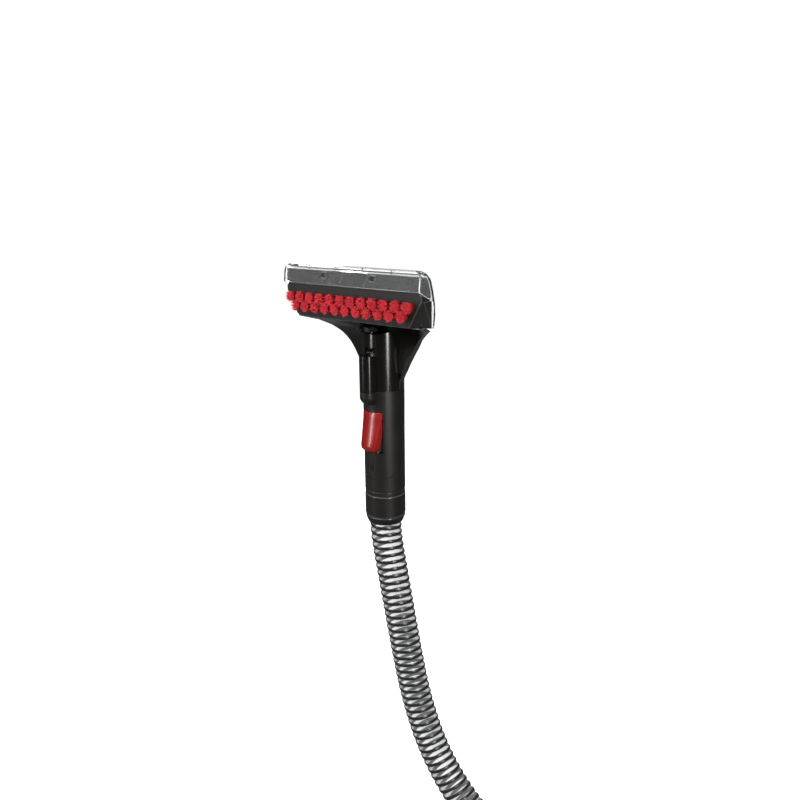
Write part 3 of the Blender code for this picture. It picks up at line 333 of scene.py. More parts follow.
@dataclass(frozen=True)
class PlainMetal:
    """A turned or plated metal whose gloss is broken by fine marks."""

    name: str
    color: str
    roughness: float
    mark_mm: float = 0.8

    def build(self) -> bpy.types.Material:
        """Make the material.

        Returns:
            A metallic Principled material with mottled roughness.
        """
        material, tree, shader = start_material(self.name)
        place = node(tree, "TexCoord")
        marks = node(
            tree,
            "TexNoise",
            {"Scale": 1 / (self.mark_mm * MM), "Detail": 2.0},
            {"Vector": place.outputs["Object"]},
        )
        rough = node(
            tree,
            "MapRange",
            {"To Min": self.roughness * 0.7, "To Max": self.roughness * 1.3},
            {"Value": marks.outputs["Fac"]},
        )
        tree.links.new(rough.outputs["Result"], shader.inputs["Roughness"])
        shader.inputs["Base Color"].default_value = linear(self.color)
        shader.inputs["Metallic"].default_value = 1.0
        return material


class Finish(Enum):
    """Every finish on the tool."""

    # a fine mould texture spreads each highlight into a broad soft band on near black
    GRIP_ABS = Moulding("ABS, moulded with a fine texture", "100f0d", "181614", 0.40, specular=0.4)
    # the rounded edges are painted paler and glossier, a painted highlight that draws thin pale lines along
    # them
    GRIP_EDGE = Moulding("ABS, textured, painted highlight at its edges", "403d39", "4c4844", 0.22)
    # a polished mould gives deep black with narrow bright highlights
    GLOSS_ABS = Moulding("ABS, moulded smooth", "090807", "0e0c0a", 0.19, 0.05, 0.9, 0.006)
    # a moulded radius catches every lamp, and its paler colour is a painted highlight, so the outline of a
    # gloss part reads as a line
    GLOSS_EDGE = Moulding("ABS, smooth, painted highlight at its moulded edges", "3a3835", "4a4844", 0.16, 0.05)
    # a coarse mould texture is matt, and shows hardly any highlight
    BRUSH_PP = Moulding(
        "polypropylene, moulded with a coarse texture", "131211", "201f1e", 0.6, 0.1, 1.4, 0.12, specular=0.32
    )
    # the matt part's edges are painted greyer and a little shinier, a painted highlight along them
    BRUSH_EDGE = Moulding("polypropylene, coarse, painted highlight at its edges", "45423f", "57534f", 0.4)
    # the wall behind the window is plain and dark, so that the window reads as clear
    WINDOW_PP = Moulding(
        "polypropylene, moulded smooth behind the window", "151413", "1c1a19", 0.5, 0.03, specular=0.3
    )
    # dyed through and moulded smooth: deep red with one clean highlight
    TRIGGER_ABS = Moulding("ABS, moulded in red", "780d0c", "8a1614", 0.24, 0.05, 0.7, 0.008)
    # the trigger's edges are painted a paler red, a painted highlight
    TRIGGER_EDGE = Moulding("ABS, red, painted highlight at its edges", "c24640", "d05a52", 0.2)
    # undyed plastic of the inner parts: a flat milky grey
    INNER_PP = Moulding("polypropylene, natural grey", "8a8b8d", "9c9da0", 0.5)
    # rubber is the dullest black on the tool
    RUBBER = Moulding("nitrile rubber, moulded", "161616", "232323", 0.72, 0.1, 0.5, 0.03)
    # clear all through, with sharp reflections on its flat faces
    CLEAR = ClearMoulding("polycarbonate, moulded clear")
    # the edges are made milky white, a painted highlight that outlines the clear part in white
    CLEAR_EDGE = ClearMoulding("polycarbonate, clear, milky at its edges", "cfd0d1", 0.5, 0.25)
    # drawn tube is pale and glossy along its length
    TUBE = Moulding("vinyl tube, drawn", "b9bec2", "c9cdd0", 0.22)
    # the smoked tube hardly shows against the black neck
    DARK_TUBE = Moulding("vinyl tube, smoked", "1b1b1c", "242425", 0.22)
    # thousands of cut ends make the tufts look soft and uneven in red
    BRISTLE = BristleNylon()
    # dark ribs with a milky wall between them, through which the far ribs show
    HOSE = RibbedHose()
    # zinc is a bright, slightly blue grey
    STEEL = PlainMetal("steel, zinc plated", "b8babd", 0.35)
    # black zinc keeps a metal's gloss at a dark grey
    DARK_STEEL = PlainMetal("steel, black zinc plated", "3a3a3c", 0.4)
    # turned brass is the one warm bright spot
    BRASS = PlainMetal("brass, turned", "b08a4a", 0.28)
    # brass painted dark, a painted shade that keeps the tip unseen in the dark of the funnel
    DARK_BRASS = PlainMetal("brass, painted dark as shade", "2c261c", 0.5)

    @property
    def edge(self) -> "Finish":
        """The finish of this one's rounded edges, whose paler colour is a painted highlight, or this one."""
        return getattr(Finish, self.name.split("_")[0] + "_EDGE", self)

    def material(self) -> bpy.types.Material:
        """The finish's material, made on first use."""
        found = bpy.data.materials.get(self.value.name)
        return found or self.value.build()


# ---------------------------------------------------------------- mesh makers


def mesh_object(
    name: str, points: np.ndarray, faces: np.ndarray, finish: Finish, triangles: np.ndarray | None = None
) -> bpy.types.Object:
    """Put points and faces into a smooth shaded mesh object.

    Args:
        name: the piece's name.
        points: an (n, 3) array in metres.
        faces: an (m, 4) array of point numbers.
        finish: what the piece is made of.
        triangles: a (k, 3) array of point numbers for closed ends, or None.

    Returns:
        The new object, linked to the scene.
    """
    mesh = bpy.data.meshes.new(name)
    ends = [] if triangles is None else triangles.tolist()
    mesh.from_pydata(points.tolist(), [], faces.tolist() + ends)
    mesh.materials.append(finish.material())
    mesh.shade_smooth()
    made = bpy.data.objects.new(name, mesh)
    bpy.context.scene.collection.objects.link(made)
    return made


def grid_quads(rows: int, columns: int, closed: bool) -> np.ndarray:
    """Quads of a grid whose points are numbered row by row.

    Args:
        rows: number of rows.
        columns: number of points in a row.
        closed: whether each row closes on itself.

    Returns:
        An (m, 4) array of point numbers.
    """
    last = columns if closed else columns - 1
    i, j = np.meshgrid(np.arange(rows - 1), np.arange(last), indexing="ij")
    k = (j + 1) % columns
    here, above = i * columns, (i + 1) * columns
    return np.stack([here + j, here + k, above + k, above + j], axis=-1).reshape(-1, 4)


def point_values(made: bpy.types.Object, name: str, values: np.ndarray) -> None:
    """Store one number per point as an attribute.

    Args:
        made: the object.
        name: the attribute's name.
        values: one number per point.
    """
    layer = made.data.attributes.new(name, "FLOAT", "POINT")
    layer.data.foreach_set("value", values.astype(np.float32).ravel())


def finished_copy(source: str, body: str, finish: Finish, round_mm: float = 0.0) -> bpy.types.Object:
    """A merged copy of a CAD node with rounded edges, which stands for it.

    Args:
        source: the node's name.
        body: the body it rides on.
        finish: what it is made of.
        round_mm: width of the rounded edges, or 0 for none.

    Returns:
        The piece.
    """
    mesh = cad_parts[source].data.copy()
    bm = bmesh.new()
    bm.from_mesh(mesh)
    bmesh.ops.remove_doubles(bm, verts=bm.verts, dist=MERGE_DISTANCE)
    bmesh.ops.dissolve_limit(bm, angle_limit=FLAT_ANGLE, verts=bm.verts, edges=bm.edges)
    bm.to_mesh(mesh)
    bm.free()
    mesh.materials.clear()
    # the second material is the finish of the rounded edges: a paler colour, a painted highlight
    for each in dict.fromkeys((finish, finish.edge)):
        mesh.materials.append(each.material())
    made = bpy.data.objects.new(f"{source}_finished", mesh)
    bpy.context.scene.collection.objects.link(made)
    mesh.shade_smooth()
    mesh.set_sharp_from_angle(angle=SHARP_ANGLE)
    if round_mm:
        bevel = made.modifiers.new("rounded edges", "BEVEL")
        bevel.width = round_mm * MM
        bevel.segments = 3
        bevel.limit_method = "ANGLE"
        bevel.angle_limit = SHARP_ANGLE
        bevel.harden_normals = True
        # the bevel faces take that painted-highlight finish where the finish has one
        bevel.material = 1 if finish.edge is not finish else -1
    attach(made, body)
    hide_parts(source)
    log.info("%s: %d faces", made.name, len(mesh.polygons))
    return made


def dress(source: str, finish: Finish) -> None:
    """Give a CAD node that stays a better material.

    Args:
        source: the node's name.
        finish: what it is made of.
    """
    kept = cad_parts[source]
    material = finish.material()
    if not kept.material_slots:
        kept.data.materials.append(material)
    for holder in kept.material_slots:
        holder.material = material


# ---------------------------------------------------------------- hose


@dataclass
class Hose:
    """The suction hose: it drops from the collar, makes two turns on the floor and climbs to its cuff."""

    radius: float = 14.8 * MM
    rib_depth: float = 1.15 * MM
    rib_pitch: float = 6.9 * MM
    coil_radius: float = 190.0 * MM
    coil_pitch: float = 31.5 * MM
    turns: float = 2.0
    sides: int = 32
    # ribs are drawn finer on the stretch that is seen from near
    near_length: float = 0.42
    near_steps: int = 12
    far_steps: int = 5
    # a crest's cosine to this power: below 1 the rib is broad and the groove narrow
    crest_power: float = 0.7
    path_points: int = 700
    route: list[tuple[float, float, float]] = field(
        default_factory=lambda: [
            (0.0, 0.0, -0.0800),
            (0.0007, 0.0001, -0.0945),
            (0.0028, 0.0003, -0.1090),
            (0.0058, 0.0006, -0.1250),
            (0.0101, 0.0011, -0.1480),
            (0.0147, 0.0015, -0.1720),
            (0.0195, 0.0020, -0.1970),
            (0.0245, 0.0026, -0.2220),
            (0.0302, 0.0032, -0.2470),
            (0.0376, 0.0039, -0.2715),
            (0.0471, 0.0049, -0.2960),
            (0.0597, 0.0062, -0.3195),
            (0.0756, 0.0079, -0.3415),
            (0.0950, 0.0099, -0.3610),
            (0.1174, 0.0123, -0.3780),
            (0.1422, 0.0149, -0.3915),
            (0.1691, 0.0177, -0.4005),
            (0.1969, 0.0206, -0.4040),
        ]
    )
    # turns, radius and height above the coil's own level
    tail: list[tuple[float, float, float]] = field(
        default_factory=lambda: [
            (2.030, 0.1268, 0.0004),
            (2.060, 0.1262, 0.0034),
            (2.090, 0.1256, 0.0096),
            (2.120, 0.1250, 0.0176),
            (2.150, 0.1246, 0.0256),
            (2.180, 0.1244, 0.0318),
            (2.210, 0.1244, 0.0349),
            (2.240, 0.1246, 0.0356),
            (2.267, 0.1250, 0.0356),
            (2.298, 0.1275, 0.0356),
            (2.327, 0.1346, 0.0356),
        ]
    )

    def ahead(self) -> np.ndarray:
        """The level direction in which the hose reaches the coil."""
        step = np.subtract(self.route[-1], self.route[-2]) * (1, 1, 0)
        return step / np.linalg.norm(step)

    def around(self, turn: np.ndarray, radius: np.ndarray, height: np.ndarray) -> np.ndarray:
        """Points of the winding, clockwise from above.

        Args:
            turn: turns made so far.
            radius: distance from the coil's middle.
            height: height above the coil's centre line.

        Returns:
            An (n, 3) array: centre + radius (cos a, sin a), where a falls by a full circle each turn.
        """
        ahead = self.ahead()
        inward = np.array([ahead[1], -ahead[0], 0.0])
        centre = np.array(self.route[-1]) + inward * self.coil_radius
        angle = math.atan2(-inward[1], -inward[0]) - 2 * math.pi * turn
        flat = np.stack([np.cos(angle) * radius, np.sin(angle) * radius, height + 0 * angle], axis=-1)
        return centre + flat

    @staticmethod
    def smooth(points: np.ndarray, leaving: np.ndarray, arriving: np.ndarray, steps: int) -> np.ndarray:
        """Catmull-Rom curve through points that leaves and arrives in given directions.

        Args:
            points: the points to go through.
            leaving: unit direction at the first point.
            arriving: unit direction at the last point.
            steps: points per span.

        Returns:
            The curve's points, with the last one.
        """
        before = points[0] - leaving * np.linalg.norm(points[1] - points[0])
        after = points[-1] + arriving * np.linalg.norm(points[-1] - points[-2])
        whole = np.vstack([before, points, after])
        a, b, c, d = (whole[i : len(whole) - 3 + i, None, :] for i in range(4))
        t = (np.arange(steps) / steps)[None, :, None]
        squared = (2 * a - 5 * b + 4 * c - d) * t**2
        cubed = (3 * b - a - 3 * c + d) * t**3
        curve = 0.5 * (2 * b + (c - a) * t + squared + cubed)
        return np.vstack([curve.reshape(-1, 3), points[-1]])

    def centre_line(self) -> tuple[np.ndarray, np.ndarray]:
        """The whole centre line at even steps.

        Returns:
            The points and the distance of each along the hose.
        """
        drop = self.smooth(np.array(self.route), np.array([0, 0, -1.0]), self.ahead(), 12)
        turn = np.linspace(0, self.turns, 360)[1:]
        coil = self.around(turn, self.coil_radius - self.coil_pitch * turn, np.zeros_like(turn))
        t, r, h = np.array(self.tail).T
        up = np.vstack([coil[-1], self.around(t, r, h)])
        leaving = (coil[-1] - coil[-2]) / np.linalg.norm(coil[-1] - coil[-2])
        climb = self.smooth(up, leaving, np.array([0, -1.0, 0]), 8)
        rough = np.vstack([drop, coil, climb[1:]])
        far = np.concatenate([[0], np.cumsum(np.linalg.norm(np.diff(rough, axis=0), axis=1))])
        near = np.arange(0, self.near_length, self.rib_pitch / self.near_steps)
        rest = np.arange(self.near_length, far[-1], self.rib_pitch / self.far_steps)
        along = np.concatenate([near, rest, [far[-1]]])
        return np.stack([np.interp(along, far, rough[:, i]) for i in range(3)], axis=-1), along

    def across(self, line: np.ndarray, along: np.ndarray) -> tuple[np.ndarray, np.ndarray]:
        """Two unit directions square to the hose at each of its points, kept from twisting.

        Args:
            line: the centre line's points.
            along: the distance of each along the hose.

        Returns:
            The level direction, and the one square to it.
        """
        ahead = np.gradient(line, along, axis=0)
        ahead /= np.linalg.norm(ahead, axis=1)[:, None]
        side = np.cross(ahead, (0, 0, 1.0))
        level = np.linalg.norm(side, axis=1) > 0.25
        side[~level] = np.cross(self.ahead(), (0, 0, 1.0))
        side -= ahead * np.sum(side * ahead, axis=1)[:, None]
        side /= np.linalg.norm(side, axis=1)[:, None]
        return side, np.cross(side, ahead)

    def build(self) -> bpy.types.Object:
        """Make the ribbed tube: radius = outer - depth (1 - crest), where the crest winds round the tube.

        Returns:
            The hose.
        """
        line, along = self.centre_line()
        side, up = self.across(line, along)
        turn = np.arange(self.sides) / self.sides
        phase = (along[:, None] / self.rib_pitch - turn[None, :]) % 1.0
        crest = (0.5 + 0.5 * np.cos(2 * math.pi * (phase - 0.5))) ** self.crest_power
        radius = self.radius - self.rib_depth * (1 - crest)
        radius[[0, -1]] = self.radius - self.rib_depth
        c, s = np.cos(2 * math.pi * turn)[None, :, None], np.sin(2 * math.pi * turn)[None, :, None]
        points = line[:, None, :] + radius[..., None] * (c * side[:, None, :] + s * up[:, None, :])
        rings = len(along)
        everything = np.vstack([points.reshape(-1, 3), line[:1], line[-1:]])
        # turned to face outwards, each from the same first corner, which keeps its diagonal
        quads = grid_quads(rings, self.sides, True)[:, [0, 3, 2, 1]]
        made = mesh_object("ribbed_hose", everything, quads, Finish.HOSE, self.fans(rings))
        point_values(made, "rib", np.concatenate([crest.ravel(), [0.0, 0.0]]))
        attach(made, "hose")
        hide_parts("suction_hose", "hose_coil", "hose_tail")
        log.info("ribbed_hose: %.3f m long, %d faces", along[-1], len(made.data.polygons))
        return made

    def fans(self, rings: int) -> np.ndarray:
        """Triangles that close both ends, from each end ring to that end's middle point.

        Args:
            rings: how many rings the hose has; the two middles are numbered after the last ring.

        Returns:
            A (2 * sides, 3) array of point numbers, facing outwards.
        """
        one = np.arange(self.sides)
        two = (one + 1) % self.sides
        middle = np.full(self.sides, rings * self.sides)
        last = (rings - 1) * self.sides
        near = np.stack([middle, one, two], axis=-1)
        far = np.stack([middle + 1, last + two, last + one], axis=-1)
        return np.vstack([near, far])


# ---------------------------------------------------------------- brush


@dataclass
class Brush:
    """Two staggered rows of tufts, each a bundle of filaments that spreads towards its tips."""

    pitch: float = 11.9 * MM
    rows: tuple[tuple[str, int, float], ...] = (
        ("bristle_row_upper", 12, 128.6 * MM),
        ("bristle_row_lower", 11, 121.0 * MM),
    )
    root_y: float = -41.0 * MM
    tip_y: float = -49.6 * MM
    root_radius: float = 3.0 * MM
    tip_radius: float = 5.0 * MM
    # real filaments are 0.2 mm thick, drawn coarser so that single ones show
    filament: float = 0.34 * MM
    filaments: int = 105
    strip_half: float = 2.3 * MM
    strip_round: float = 0.3 * MM
    seed: int = 11

    def filament_grid(
        self, count: int, height: float, rng: np.random.Generator
    ) -> tuple[np.ndarray, np.ndarray]:
        """Filaments of one row: a sunflower pattern at the root, spread and ruffled at the tip.

        Args:
            count: tufts in the row.
            height: the row's height.
            rng: the random source.

        Returns:
            Points as (filaments, rings, 4, 3) and each point's share of the way to the tip.
        """
        n = np.arange(self.filaments)
        rim = np.sqrt((n + 0.5) / self.filaments)
        turn = n * math.pi * (3 - math.sqrt(5))
        disc = np.stack([rim * np.cos(turn), rim * np.sin(turn)], axis=-1)
        centres = (np.arange(count) - (count - 1) / 2) * self.pitch
        pairs = (count, self.filaments, 2)
        disc = np.broadcast_to(disc, pairs) + rng.normal(0, 0.05, pairs)
        lean = rng.normal(0, 0.03, (count, 1, 2)) + rng.normal(0, 0.06, pairs)
        share = np.array([0.0, 0.4, 0.75, 1.0])
        reach = self.tip_y + rng.uniform(-0.35, 1.3, (count, self.filaments, 1)) * MM
        reach += 0.8 * MM * np.broadcast_to(rim, (count, self.filaments))[..., None] ** 3
        wide = self.root_radius + (self.tip_radius - self.root_radius) * share**1.3
        flat = disc[:, :, None, :] * wide[None, None, :, None]
        flat = flat + lean[:, :, None, :] * self.tip_radius * (share**2)[None, None, :, None]
        x = centres[:, None, None] + flat[..., 0]
        z = height + flat[..., 1] * 0.98
        y = self.root_y + (reach - self.root_y) * share
        line = np.stack([x, y, z], axis=-1).reshape(-1, len(share), 3)
        thick = self.filament * np.array([1.0, 1.0, 0.95, 0.6])
        around = np.array([[1, 1], [-1, 1], [-1, -1], [1, -1]]) * 0.7
        offset = np.zeros((len(share), 4, 3))
        offset[..., 0] = thick[:, None] * around[None, :, 0]
        offset[..., 2] = thick[:, None] * around[None, :, 1]
        points = line[:, :, None, :] + offset[None]
        return points, np.broadcast_to(share[None, :, None], points.shape[:3])

    def build(self) -> None:
        """Make both rows, each with the moulded strip that holds its tufts."""
        rng = np.random.default_rng(self.seed)
        for name, count, height in self.rows:
            points, share = self.filament_grid(count, height, rng)
            total, rings = points.shape[:2]
            side = grid_quads(rings, 4, True)
            ends = np.array([[3, 2, 1, 0], np.arange(4 * rings - 4, 4 * rings)])
            one = np.vstack([side, ends])
            quads = (one[None] + (np.arange(total) * 4 * rings)[:, None, None]).reshape(-1, 4)
            tufts = mesh_object(f"{name}_tufts", points.reshape(-1, 3), quads, Finish.BRISTLE)
            jitter = np.repeat(rng.uniform(-0.3, 0.22, total), 4 * rings)
            # dark at the roots as painted shade, paler to the tips; the jitter is random tone from filament
            # to filament
            point_values(tufts, "along", np.clip(share.ravel() ** 2.2 * 0.95 + jitter, 0, 1))
            low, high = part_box(name)
            strip = self.strip(name, low, high)
            for piece in (tufts, strip):
                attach(piece, "head")
            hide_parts(name)
            log.info("%s: %d filaments", tufts.name, total)

    def strip(self, name: str, low: tuple[float, ...], high: tuple[float, ...]) -> bpy.types.Object:
        """The backing strip of a row, as a rounded bar.

        Args:
            name: the row's name.
            low: the CAD row's lowest corner.
            high: the CAD row's highest corner.

        Returns:
            The bar.
        """
        height = next(z for row, _, z in self.rows if row == name)
        xs, ys = (low[0], high[0]), (self.root_y, high[1])
        zs = (height - self.strip_half, height + self.strip_half)
        corners = np.array([(x, y, z) for x in xs for y in ys for z in zs])
        faces = np.array([[0, 1, 3, 2], [4, 6, 7, 5], [0, 4, 5, 1], [2, 3, 7, 6], [0, 2, 6, 4], [1, 5, 7, 3]])
        made = mesh_object(f"{name}_strip", corners, faces, Finish.BRUSH_PP)
        bevel = made.modifiers.new("rounded edges", "BEVEL")
        bevel.width = self.strip_round
        bevel.segments = 2
        return made


# ---------------------------------------------------------------- shells


@dataclass
class Shells:
    """The moulded shells and small parts: copies of the CAD with edges rounded as a mould leaves them."""

    rounded: tuple[tuple[str, str, Finish, float], ...] = (
        ("grip_front_shell", "grip", Finish.GRIP_ABS, 0.35),
        ("grip_rear_shell", "grip", Finish.GRIP_ABS, 0.35),
        ("retaining_ring", "grip", Finish.GRIP_ABS, 0.3),
        ("trigger", "trigger", Finish.TRIGGER_ABS, 0.5),
        ("neck_front_shell", "head", Finish.GLOSS_ABS, 0.45),
        ("funnel_rear_shell", "head", Finish.GLOSS_ABS, 0.5),
        ("funnel_front_wall", "head", Finish.GLOSS_ABS, 0.4),
        ("nozzle_base", "head", Finish.BRUSH_PP, 0.4),
        ("brush_plate", "head", Finish.BRUSH_PP, 0.35),
        ("clear_nozzle", "head", Finish.CLEAR, 0.45),
        ("spray_tip_holder", "head", Finish.BRUSH_PP, 0.0),
        ("latch_finger", "grip", Finish.GLOSS_ABS, 0.3),
        ("hose_collar", "hose", Finish.GRIP_ABS, 0.35),
        ("collar_end_ring", "hose", Finish.GRIP_ABS, 0.35),
        ("machine_cuff", "hose", Finish.GRIP_ABS, 0.5),
        ("cuff_grip_sleeve", "hose", Finish.RUBBER, 0.5),
        ("solution_plug", "hose", Finish.BRASS, 0.3),
        ("coil_strap", "hose", Finish.RUBBER, 0.3),
    )
    kept: tuple[tuple[str, Finish], ...] = (
        ("grip_screw", Finish.DARK_STEEL),
        ("trigger_pin", Finish.STEEL),
        ("valve_stem", Finish.STEEL),
        ("trigger_spring", Finish.STEEL),
        ("valve_body", Finish.INNER_PP),
        ("suction_tube", Finish.INNER_PP),
        ("bulkhead", Finish.INNER_PP),
        ("swivel_sleeve", Finish.INNER_PP),
        ("seat_gasket", Finish.RUBBER),
        ("swivel_seal", Finish.RUBBER),
        ("nipple_seal", Finish.RUBBER),
        ("solution_inlet_tube", Finish.TUBE),
        ("solution_outlet_tube", Finish.TUBE),
        ("head_solution_tube", Finish.DARK_TUBE),
        ("solution_nipple", Finish.BRASS),
        # the spray tip's brass is painted dark: painted shade
        ("spray_tip", Finish.DARK_BRASS),
    )

    def build(self) -> None:
        """Make the rounded copies and dress the nodes that stay."""
        for source, body, finish, width in self.rounded:
            finished_copy(source, body, finish, width)
        for source, finish in self.kept:
            dress(source, finish)


@dataclass
class WindowLiner:
    """The smooth face of the dark wall behind the clear window, and the webs in the base's lower corners."""

    half: float = 73.4 * MM
    low_face: tuple[float, float] = (-42.28 * MM, 141.4 * MM)
    high_face: tuple[float, float] = (-41.02 * MM, 151.7 * MM)
    ahead: float = 0.04 * MM
    # the slanted facet's top, front and rear corner, in millimetres
    facet_mm: tuple[tuple[float, float, float], ...] = (
        (75.4, -39.0, 134.0),
        (61.8, -39.0, 111.0),
        (75.4, -28.4, 111.0),
    )
    web_inset: float = 0.10 * MM
    web_wall: float = 0.8 * MM

    def build(self) -> None:
        """Make the face, a flat sheet whose y and z go evenly from the low line to the high one."""
        x = np.linspace(-self.half, self.half, 40)[None, :]
        share = np.linspace(0, 1, 12)[:, None]
        (y0, z0), (y1, z1) = self.low_face, self.high_face
        y = y0 + (y1 - y0) * share - self.ahead + 0 * x
        z = z0 + (z1 - z0) * share + 0 * x
        points = np.stack([x + 0 * share, y, z], axis=-1).reshape(-1, 3)
        liner = mesh_object("window_liner", points, grid_quads(12, 40, False), Finish.WINDOW_PP)
        self.dress(liner)
        for side, name in ((-1, "left"), (1, "right")):
            self.web(name, side)

    def dress(self, piece: bpy.types.Object) -> None:
        """Ride a piece on the head."""
        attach(piece, "head")

    def web(self, name: str, side: int) -> None:
        """A web across the notch at one end of the base's lower edge: a slab just inside the slanted facet.

        Args:
            name: left or right.
            side: -1 or 1.
        """
        top, front, rear = (np.array(p) * MM for p in self.facet_mm)
        normal = np.cross(front - top, rear - top)
        normal *= np.sign(normal[0]) / np.linalg.norm(normal)
        share = np.array([(0.10, 0.0), (0.9, 0.0), (0.62, 0.26), (0.38, 0.26)])
        along = front + (rear - front) * share[:, :1]
        outer = along + (top - along) * share[:, 1:] - normal * self.web_inset
        points = np.vstack([outer, outer - normal * self.web_wall]) * (side, 1, 1)
        faces = np.array([[0, 1, 2, 3], [7, 6, 5, 4], [0, 4, 5, 1], [1, 5, 6, 2], [2, 6, 7, 3], [3, 7, 4, 0]])
        if side > 0:
            faces = faces[:, ::-1]
        self.dress(mesh_object(f"corner_web_{name}", points, faces, Finish.BRUSH_PP))


@dataclass
class WindowPads:
    """Two round pads on the dark wall behind the clear window, dished like a shallow saucer."""

    centres: tuple[float, float] = (-13.9 * MM, 13.9 * MM)
    height: float = 148.2 * MM
    radius: float = 7.3 * MM
    top: float = 151.2 * MM
    low_face: tuple[float, float] = (-42.3 * MM, 141.2 * MM)
    high_face: tuple[float, float] = (-41.0 * MM, 151.9 * MM)
    relief: float = 0.3 * MM

    def build(self) -> None:
        """Make both: a disc of radius r, standing out by relief times (0.35 + 0.65 r squared)."""
        r = np.concatenate([[0.02], np.linspace(0.2, 0.94, 7), [1.0]])[:, None]
        t = (np.arange(40) / 40 * 2 * math.pi)[None, :]
        (y0, z0), (y1, z1) = self.low_face, self.high_face
        for number, centre in enumerate(self.centres):
            x = centre + self.radius * r * np.cos(t)
            z = np.minimum(self.height + self.radius * r * np.sin(t), self.top)
            lift = np.where(r < 0.99, self.relief * (0.35 + 0.65 * r**2), 0.0)
            y = y0 + (z - z0) * (y1 - y0) / (z1 - z0) - 0.06 * MM - lift
            points = np.stack([x, y, z], axis=-1).reshape(-1, 3)
            quads = grid_quads(len(r), 40, True)
            pad = mesh_object(f"window_pad_{number + 1}", points, quads, Finish.GLOSS_ABS)
            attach(pad, "head")


# ---------------------------------------------------------------- studio


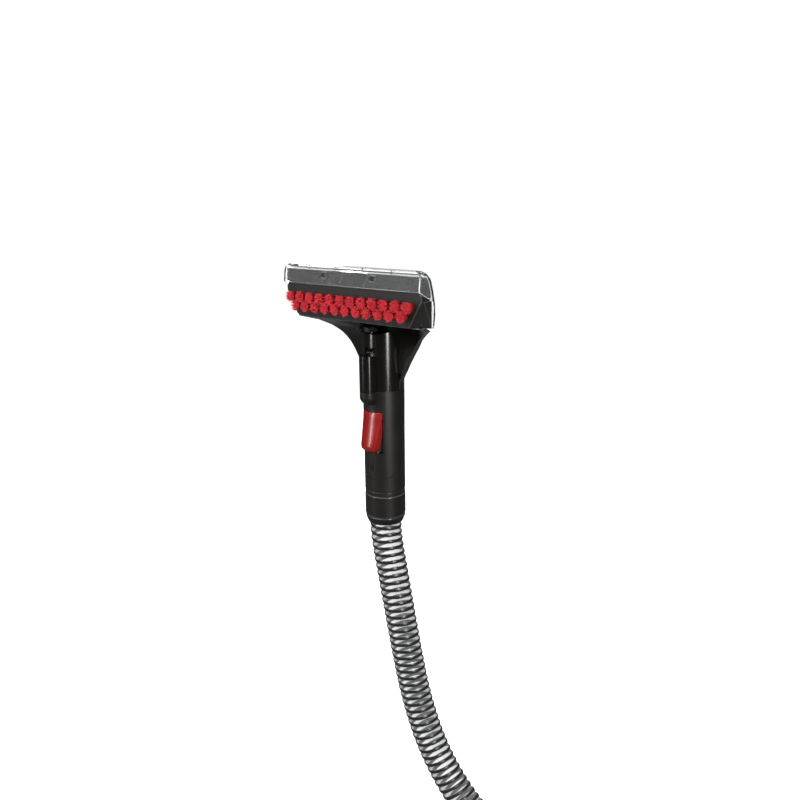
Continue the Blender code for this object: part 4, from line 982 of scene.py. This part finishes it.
@dataclass
class Studio:
    """Pale floor, white surround, soft lamps and the camera."""

    lens_mm: float = 34.3
    camera_at: tuple[float, float, float] = (434.6 * MM, -499.8 * MM, 209.8 * MM)
    yaw: float = 39.76
    pitch: float = -14.79
    roll: float = -0.6
    # name, degrees from +X towards +Y, distance, width and height in metres, watts
    strips: tuple[tuple[str, float, float, tuple[float, float], float], ...] = (
        ("front right strip", -24, 1.4, (0.26, 1.1), 17),
        ("front left strip", -116, 1.4, (0.14, 1.0), 9),
        ("rim strip", 141, 1.5, (0.3, 1.0), 12),
    )
    strip_height: float = 0.30
    strip_aim: tuple[float, float, float] = (0, 0, 0.03)
    floor_reach: float = 12.0
    floor_glow: float = 0.62
    world_seen: float = 1.05
    world_fill: float = 0.5
    world_gloss: float = 0.13

    def camera(self) -> None:
        """Place the camera: level it along +Y, pitch it, turn it about Z, then roll it."""
        data = bpy.data.cameras.new("camera")
        data.lens = self.lens_mm
        data.sensor_width = 36.0
        data.clip_start = 0.01
        made = bpy.data.objects.new("camera", data)
        turn = Matrix.Rotation(math.radians(self.yaw), 4, "Z")
        tilt = Matrix.Rotation(math.radians(90 + self.pitch), 4, "X")
        spin = Matrix.Rotation(math.radians(self.roll), 4, "Z")
        made.matrix_world = Matrix.Translation(self.camera_at) @ turn @ tilt @ spin
        bpy.context.scene.collection.objects.link(made)
        bpy.context.scene.camera = made

    def lamp(
        self,
        name: str,
        at: tuple[float, float, float],
        aim: tuple[float, float, float],
        size: tuple[float, float],
        power: float,
    ) -> None:
        """Add a soft rectangular lamp.

        Args:
            name: its name.
            at: its place in metres.
            aim: the point it faces.
            size: width and height in metres.
            power: watts.
        """
        data = bpy.data.lights.new(name, "AREA")
        data.shape = "RECTANGLE"
        data.size, data.size_y = size
        data.energy = power
        made = bpy.data.objects.new(name, data)
        look = (Vector(aim) - Vector(at)).to_track_quat("-Z", "Y").to_matrix().to_4x4()
        made.matrix_world = Matrix.Translation(at) @ look
        bpy.context.scene.collection.objects.link(made)

    @staticmethod
    def direct(tree: bpy.types.NodeTree, seen: bpy.types.Node, strength: float) -> bpy.types.NodeSocket:
        """A strength for what is seen directly or through clear plastic, and 0 for other rays.

        Args:
            tree: the node tree.
            seen: its Light Path node.
            strength: the strength.

        Returns:
            The socket that holds it.
        """
        either = node(
            tree,
            "Math",
            {"operation": "MAXIMUM"},
            {0: seen.outputs["Is Camera Ray"], 1: seen.outputs["Is Transmission Ray"]},
        )
        scaled = node(tree, "Math", {"operation": "MULTIPLY", 1: strength}, {0: either.outputs["Value"]})
        return scaled.outputs["Value"]

    def floor(self, height: float) -> None:
        """A pale floor under everything.

        Args:
            height: its height in metres.
        """
        signs = np.array([(-1, -1, 0), (1, -1, 0), (1, 1, 0), (-1, 1, 0)])
        corners = signs * self.floor_reach + (0, 0, height)
        mesh = bpy.data.meshes.new("floor")
        mesh.from_pydata(corners.tolist(), [], [(0, 1, 2, 3)])
        material, tree, shader = start_material("floor, matt white")
        shader.inputs["Base Color"].default_value = linear("e6e6e6")
        shader.inputs["Roughness"].default_value = 0.9
        shader.inputs["Specular IOR Level"].default_value = 0.1
        seen = node(tree, "LightPath")
        strength = self.direct(tree, seen, self.floor_glow)
        glow = node(tree, "Emission", {"Color": (1, 1, 1, 1)}, {"Strength": strength})
        both = node(tree, "AddShader", None, {0: shader.outputs["BSDF"], 1: glow.outputs["Emission"]})
        dark = node(tree, "BsdfDiffuse", {"Color": linear("5a5a5a")})
        share = self.direct(tree, seen, 1.0)
        mix = node(tree, "MixShader", None, {0: share, 1: dark.outputs["BSDF"], 2: both.outputs["Shader"]})
        tree.links.new(mix.outputs["Shader"], tree.nodes["Material Output"].inputs["Surface"])
        mesh.materials.append(material)
        made = bpy.data.objects.new("floor", mesh)
        bpy.context.scene.collection.objects.link(made)

    def strip(self, name: str, degrees: float, away: float, size: tuple[float, float], power: float) -> None:
        """Add an upright strip lamp, which draws one upright highlight on the round tubes.

        Args:
            name: its name.
            degrees: its direction from the tool, from +X towards +Y.
            away: its distance in metres.
            size: width and height in metres.
            power: watts.
        """
        turn = math.radians(degrees)
        at = (away * math.cos(turn), away * math.sin(turn), self.strip_height)
        self.lamp(name, at, self.strip_aim, size, power)

    def surround(self) -> None:
        """White to the eye, dimmer as a light, so that black plastic stays black."""
        world = bpy.data.worlds.new("studio")
        world.use_nodes = True
        tree = world.node_tree
        tree.nodes.clear()
        seen = node(tree, "LightPath")
        gloss = node(
            tree,
            "MapRange",
            {"To Min": self.world_fill, "To Max": self.world_gloss},
            {"Value": seen.outputs["Is Glossy Ray"]},
        )
        strength = node(
            tree,
            "Math",
            {"operation": "MAXIMUM"},
            {0: gloss.outputs["Result"], 1: self.direct(tree, seen, self.world_seen)},
        )
        mix = node(tree, "Background", {"Color": (1, 1, 1, 1)}, {"Strength": strength.outputs["Value"]})
        out = node(tree, "OutputWorld", None, {"Surface": mix.outputs["Background"]})
        out.is_active_output = True
        bpy.context.scene.world = world

    def build(self, floor_height: float) -> None:
        """Make the stage.

        Args:
            floor_height: the floor's height in metres.
        """
        self.camera()
        self.floor(floor_height)
        self.surround()
        for strip in self.strips:
            self.strip(*strip)
        self.lamp("key", (-0.25, -1.6, 1.3), (0, 0, 0.1), (0.9, 0.9), 18)
        self.lamp("top", (0.1, -0.1, 1.8), (0, 0, 0), (1.4, 1.2), 18)
        bpy.context.scene.view_settings.view_transform = "Standard"
        bpy.context.scene.view_settings.look = "None"


def main() -> None:
    """Build the stage, then the tool piece by piece."""
    logging.basicConfig(level=logging.INFO, format="%(message)s")
    Studio().build(CAD_BOX[0][2] - 0.5 * MM)
    Shells().build()
    Hose().build()
    Brush().build()
    WindowLiner().build()
    WindowPads().build()


if __name__ == "__main__":
    main()
